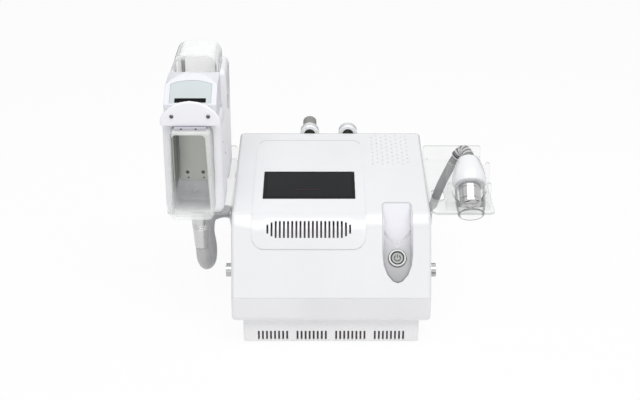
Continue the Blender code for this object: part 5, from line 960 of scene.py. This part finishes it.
# The head takes the darker painted-shade copy of the shells' lilac
for node in ("front_shell", "rear_shell", "front_head", "front_arch"):
    skin(node, HEAD_SHADED_LILAC if node == "front_head" else LILAC, angle=40)
skin("handpiece_panel", PANEL, bevel=0.4)
skin("front_neck", NECK_GREY, bevel=0.6)

# The cold plates keep their CAD shapes; their screws and ports are added
PORT_PROFILE = [(0, 0.05), (1.0, 0.05), (1.0, 0.4), (1.7, 0.4), (1.7, -0.3), (0, -0.3)]
PLATE_SCREW_X = (-237.5, -212)
PLATE_SCREW_UP, PORT_UP = 13.5, 3.6
for prefix, body, metal_kind in (("front", FRONT_BODY, PLATE), ("rear", REAR_BODY, PLATE_PALE)):
    for part in ("left_cold_plate", "right_cold_plate", "back_plate"):
        skin(f"{prefix}_{part}", metal_kind, bevel=0.5)
    skin(f"{prefix}_thermo_block", ALLOY)
    plate_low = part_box(f"{prefix}_back_plate")[0]
    depth = (plate_low.y - FRONT_Y) / MM
    base = plate_low.z / MM
    for number, x in enumerate(PLATE_SCREW_X):
        name = f"{prefix}_plate_screw_{number + 1}"
        screw_head(name, at(x, depth, base + PLATE_SCREW_UP), FRONT, 3.0, SCREW_STEEL, body)
        name = f"{prefix}_plate_port_{number + 1}"
        centre = at(x + 1, depth, base + PORT_UP)
        lathe(name, centre, FRONT, PORT_PROFILE, SCREW_STEEL, body, sides=20)

for side in ("left", "right"):
    node_screw(f"arch_{side}_screw", f"arch_screw_head_{side}", FRONT, SCREW_STEEL, FRONT_BODY)
for number, x in enumerate((-238, -214.8)):
    screw_head(f"neck_screw_{number + 1}", at(x, 40, 377.8), FRONT, 1.7, SCREW_STEEL, FRONT_BODY, 0.8)

# The head's dark display strip, on the panel's front edge
HEAD_RISE, HEAD_RUN = 33, 58
HEAD_EDGE = (54.1, 413.9)
head_turn = Matrix.Rotation(math.atan2(HEAD_RISE, HEAD_RUN), 3, "X")
strip_centre = at(GRIP_X, *HEAD_EDGE) + head_turn @ Vector((0, 8.4 * MM, -0.2 * MM))
outline = rounded(-25, -4.6, 25, 4.6, 0.8, 3)
prism("handpiece_display", outline, 0.5, strip_centre, head_turn, GLASS, FRONT_BODY, 0.15)

# Side details of the shells
SHELL_SIDE_X = -176.0
for number, (depth, z) in enumerate(((84, 338), (128, 300))):
    name = f"front_shell_screw_{number + 1}"
    screw_head(name, at(SHELL_SIDE_X, depth, z), (1, 0, 0), 1.6, SCREW_STEEL, FRONT_BODY, 0.5)
sideways = Matrix(((0, 0, 1), (1, 0, 0), (0, 1, 0)))
outline = rounded(-2.2, -13, 2.2, 13, 2, 4)
prism("rear_shell_slot", outline, 0.8, at(SHELL_SIDE_X, 215, 359), sideways, DARK, REAR_BODY, 0.2)

# Hose collar
COLLAR_LENGTH = COLLAR_TOP - COLLAR_LOW
COLLAR_WIDE, COLLAR_NARROW = 17, 12
GROOVES, GROOVE_TOP, GROOVE_PITCH = 3, -20, 3.6
# Each corner of a groove: where the collar's radius is taken, how deep it is cut, and its height
GROOVE_SECTION = (
    (0.9, 0, 0.9), (0.6, 0.15, 0.6), (0, 0.9, 0.1), (0, 0.9, -0.9), (-1.2, 0.15, -1.4), (-1.5, 0, -1.7),
)


def collar_reach(z):
    """The collar's radius at a height from its top."""
    return COLLAR_WIDE + (COLLAR_WIDE - COLLAR_NARROW) * z / COLLAR_LENGTH


collar_profile = [(0, 5.8), (8.7, 5.8), (8.7, 0.2), (16.2, 0.2), (16.8, -0.3), (16.9, -1.2)]
for groove in range(GROOVES):
    z = GROOVE_TOP - (groove + 1) * GROOVE_PITCH
    collar_profile += [(collar_reach(z + look) - cut, z + lift) for look, cut, lift in GROOVE_SECTION]
collar_profile += [(collar_reach(-66.5), -66.5), (12.0, -67.4), (11.6, -COLLAR_LENGTH), (0, -COLLAR_LENGTH)]
place = at(COLLAR_X, COLLAR_DEPTH, COLLAR_TOP)
nodes = ("hose_collar",)
lathe("hose_collar_turned", place, UP, collar_profile, COLLAR_STEEL, FRONT_BODY, nodes, 72)

# Small handpiece

BODY_PROFILE = [
    (0, 105), (8.5, 105), (11.5, 104.7), (15, 104), (17.2, 102.6), (18.6, 99.5), (20.6, 95), (23, 88.5),
    (25, 82), (26.6, 76), (27.5, 71), (27.95, 66), (28, 62), (27.9, 58.5), (27.3, 55.5), (26.6, 53.9),
    (25.6, 53.4), (0, 53.4),
]
CUP_PROFILE = [
    (17.8, 53), (22.5, 53), (24.2, 52.2), (24.5, 51), (24.5, 22), (24.2, 18), (23.4, 13), (22.3, 7),
    (21.2, 1.2), (20.7, 0.2), (19.9, 0), (19.1, 0.3), (18.8, 1.0), (20.1, 7), (21.4, 13), (22.2, 18),
    (22.5, 22), (22.5, 48.5), (21.8, 49), (17.8, 49), (17.8, 53),
]
LIP_PROFILE = [
    (19.4, -0.3), (20.4, -0.25), (21.25, 0.6), (21.4, 1.4), (20.95, 1.2), (20.5, 0.35), (19.9, 0.05),
    (19.4, 0.1), (19.4, -0.3),
]
HEAD_PROFILE = [
    (0, 52.9), (17.4, 52.9), (17.4, 46.5), (16.6, 46), (16.6, 44.6), (17.4, 44.1), (17.5, 27), (16.7, 26.4),
    (16.7, 25.4), (17.5, 24.8), (17.5, 21), (17.1, 19.2), (15.8, 17.8), (13.5, 17.0), (9, 16.95),
    (8.6, 17.6), (5.4, 17.6), (5, 17.0), (0, 17.0),
]
for name, profile, material, slot, nodes, angle in (
    ("right_body_turned", BODY_PROFILE, WHITE, "white_gloss", ("right_body",), 50),
    ("right_cup_turned", CUP_PROFILE, WAND_CLEAR, "clear", ("right_cup",), 50),
    ("right_cup_lip", LIP_PROFILE, WAND_LIP, "clear", (), 50),
    ("right_head_turned", HEAD_PROFILE, HEAD_STEEL, "steel", ("right_metal_head",), 40),
):
    lathe(name, WAND_MOUTH, WAND_AXIS, profile, material, RIGHT_BODY, nodes, 72, angle)

# Back of the machine

skin("rear_panel", LIGHTENED_WHITE_SATIN)
skin("fan_frame", DARK)
skin("fan_rotor", DARK)
skin("mains_inlet", DARK, bevel=0.4)
skin("mains_rocker", DARK)
for name, x, radius in (("big", BIG_SOCKET_X, 13.5), ("small", SMALL_SOCKET_X, 10)):
    profile = [(0, 14), (radius - 1.2, 14), (radius, 13), (radius, 10.5)]
    for ring in range(3):
        z = 9.5 - ring * 2.2
        profile += [(radius - 0.7, z), (radius - 0.7, z - 0.8), (radius, z - 1.4)]
    profile += [(radius, 2.9), (radius + 3.4, 2.5), (radius + 4, 1.9), (radius + 4, 0), (radius, 0)]
    profile += [(radius, -13), (0, -13)]
    place = at(x, PANEL_BACK + CLEARANCE, SOCKET_Z)
    nodes = (f"{name}_hose_socket",)
    lathe(f"{name}_socket_turned", place, BACK, profile, DARK, "root", nodes, 48)
skin("filler_neck", WHITE, bevel=0.3)
skin("drain_neck", WHITE, bevel=0.3)
skin("filler_cap", CAP_GREY, bevel=0.3)
NECK_DEPTH, NECK_Z = 364.8, 242
# Painted shade: a dark grey sleeve in each neck's bore stands for the shade inside the hole
BORE_PROFILE = [(0, 0.3), (9.9, 0.3), (9.9, 11.0), (10.2, 11.3), (10.2, 0), (0, 0)]
for name, x in (("filler", -37.5), ("drain", 33)):
    place = at(x, NECK_DEPTH, NECK_Z)
    lathe(f"{name}_bore_lining", place, FRONT, BORE_PROFILE, NECK_SHADE_GREY, "root", sides=48)
# The panel's screws, then the fan's
for pair, (across, z) in enumerate(((153, 60), (153, 232), (40, 112), (40, 192))):
    for number, x in ((1, -across), (2, across)):
        screw_head(f"rear_screw_{2 * pair + number}", at(x, PANEL_BACK, z), BACK, 2.8, STEEL, "root", 1.3)

# Inside the console

for node, material, slot in (
    ("water_tank", TANK, "tank"),
    ("power_supply", ALLOY, "aluminium"),
    ("control_board", BOARD, "board"),
    ("water_pump", DARK, "dark"),
    ("vacuum_pump", DARK, "dark"),
    ("radiator", ALLOY, "aluminium"),
):
    NODES[node].data.materials.clear()
    NODES[node].data.materials.append(material)

# Floor, world and lamps

FLOOR_DROP = 0.0002
FLOOR_GLOW = 0.93
DULL_ROUGHNESS = 0.9
WORLD_LIGHT, WORLD_SEEN = 0.5, 1.0
LAMP_AIM = (0, 0, 0.2)
CLEAR = (CUP_CLEAR, CUP_RIM, TRAY_CLEAR, WAND_CLEAR, WAND_LIP)


def dull(name, level):
    """A plain dull grey."""
    material, _, shader = new_material(name)
    shader.inputs["Base Color"].default_value = (level, level, level, 1)
    shader.inputs["Roughness"].default_value = DULL_ROUGHNESS
    return material


def card(name, corners, material):
    """A flat piece of the stage."""
    mesh = bpy.data.meshes.new(name)
    mesh.from_pydata(corners, [], [(0, 1, 2, 3)])
    mesh.materials.append(material)
    return link(bpy.data.objects.new(name, mesh))


def seen_ray(tree):
    """One where a ray comes from the camera, a gloss or a clear piece."""
    path = add(tree, "LightPath")
    last = path.outputs["Is Camera Ray"]
    for name in ("Is Glossy Ray", "Is Transmission Ray"):
        last = calc(tree, "MAXIMUM", last, path.outputs[name]).outputs["Value"]
    return last


def choose(tree, share, first, second, end):
    """Leads a mix of two nodes' shaders to the tree's end."""
    node = add(tree, "MixShader")
    for number, source in enumerate((share, first.outputs[0], second.outputs[0])):
        put(tree, source, node.inputs[number])
    put(tree, node.outputs["Shader"], tree.nodes[end].inputs["Surface"])


floor_paper = dull("floor_paper", 0.9)
floor_tree = floor_paper.node_tree
floor_shader = floor_tree.nodes["Principled BSDF"]
floor_shader.inputs["Specular IOR Level"].default_value = 0.0
glow = add(floor_tree, "Emission")
glow.inputs["Color"].default_value = (1, 1, 1, 1)
share = calc(floor_tree, "MULTIPLY", seen_ray(floor_tree), FLOOR_GLOW).outputs["Value"]
choose(floor_tree, share, floor_shader, glow, "Material Output")
floor = card("floor", [(-6, -4, 0), (6, -4, 0), (6, 9, 0), (-6, 9, 0)], floor_paper)
floor.location.z = -FLOOR_DROP

world = bpy.data.worlds.new("studio")
bpy.context.scene.world = world
world.use_nodes = True
world_tree = world.node_tree
soft, bright = world_tree.nodes["Background"], add(world_tree, "Background")
for node, strength in ((soft, WORLD_LIGHT), (bright, WORLD_SEEN)):
    node.inputs["Color"].default_value = (1, 1, 1, 1)
    node.inputs["Strength"].default_value = strength
choose(world_tree, seen_ray(world_tree), soft, bright, "World Output")

for name, place, size, power in (
    ("top_softbox", (0.2, -0.95, 2.3), (2.8, 1.8), 43),
    ("left_softbox", (-2.0, -1.9, 1.1), (1.2, 1.4), 2),
    ("front_softbox", (-0.1, -2.6, 0.6), (2.2, 0.9), 1),
):
    light = bpy.data.lights.new(name, "AREA")
    light.shape = "RECTANGLE"
    light.size, light.size_y = size
    light.energy = power
    lamp = link(bpy.data.objects.new(name, light))
    lamp.location = place
    aim = Vector(LAMP_AIM) - Vector(place)
    lamp.rotation_euler = aim.to_track_quat("-Z", "Y").to_euler()

# Dark studio cards that only the polished pieces reflect
flag_card = dull("flag_card", 0.08)
for name, corners in (
    ("back_flag", [(-1.3, 1.0, 0), (1.3, 1.0, 0), (1.3, 1.0, 0.6), (-1.3, 1.0, 0.6)]),
    ("left_flag", [(-0.75, -0.6, 0), (-0.75, -0.2, 0), (-0.75, -0.2, 0.35), (-0.75, -0.6, 0.35)]),
    ("right_flag", [(0.75, -0.6, 0), (0.75, -0.2, 0), (0.75, -0.2, 0.35), (0.75, -0.6, 0.35)]),
    ("front_flag", [(x, y, 0.001) for x, y in ((-0.05, -0.9), (0.22, -0.9), (0.22, -0.25), (-0.05, -0.25))]),
):
    flag = card(name, corners, flag_card)
    flag.visible_camera = False
    flag.visible_diffuse = False
    flag.visible_shadow = False
    flag.visible_transmission = False

# Clear plastic lets the light through to what stands in it
for item in bpy.data.objects:
    if any(slot.material in CLEAR for slot in item.material_slots):
        item.visible_shadow = False
        item.visible_diffuse = False

bpy.context.scene.view_settings.view_transform = "Standard"
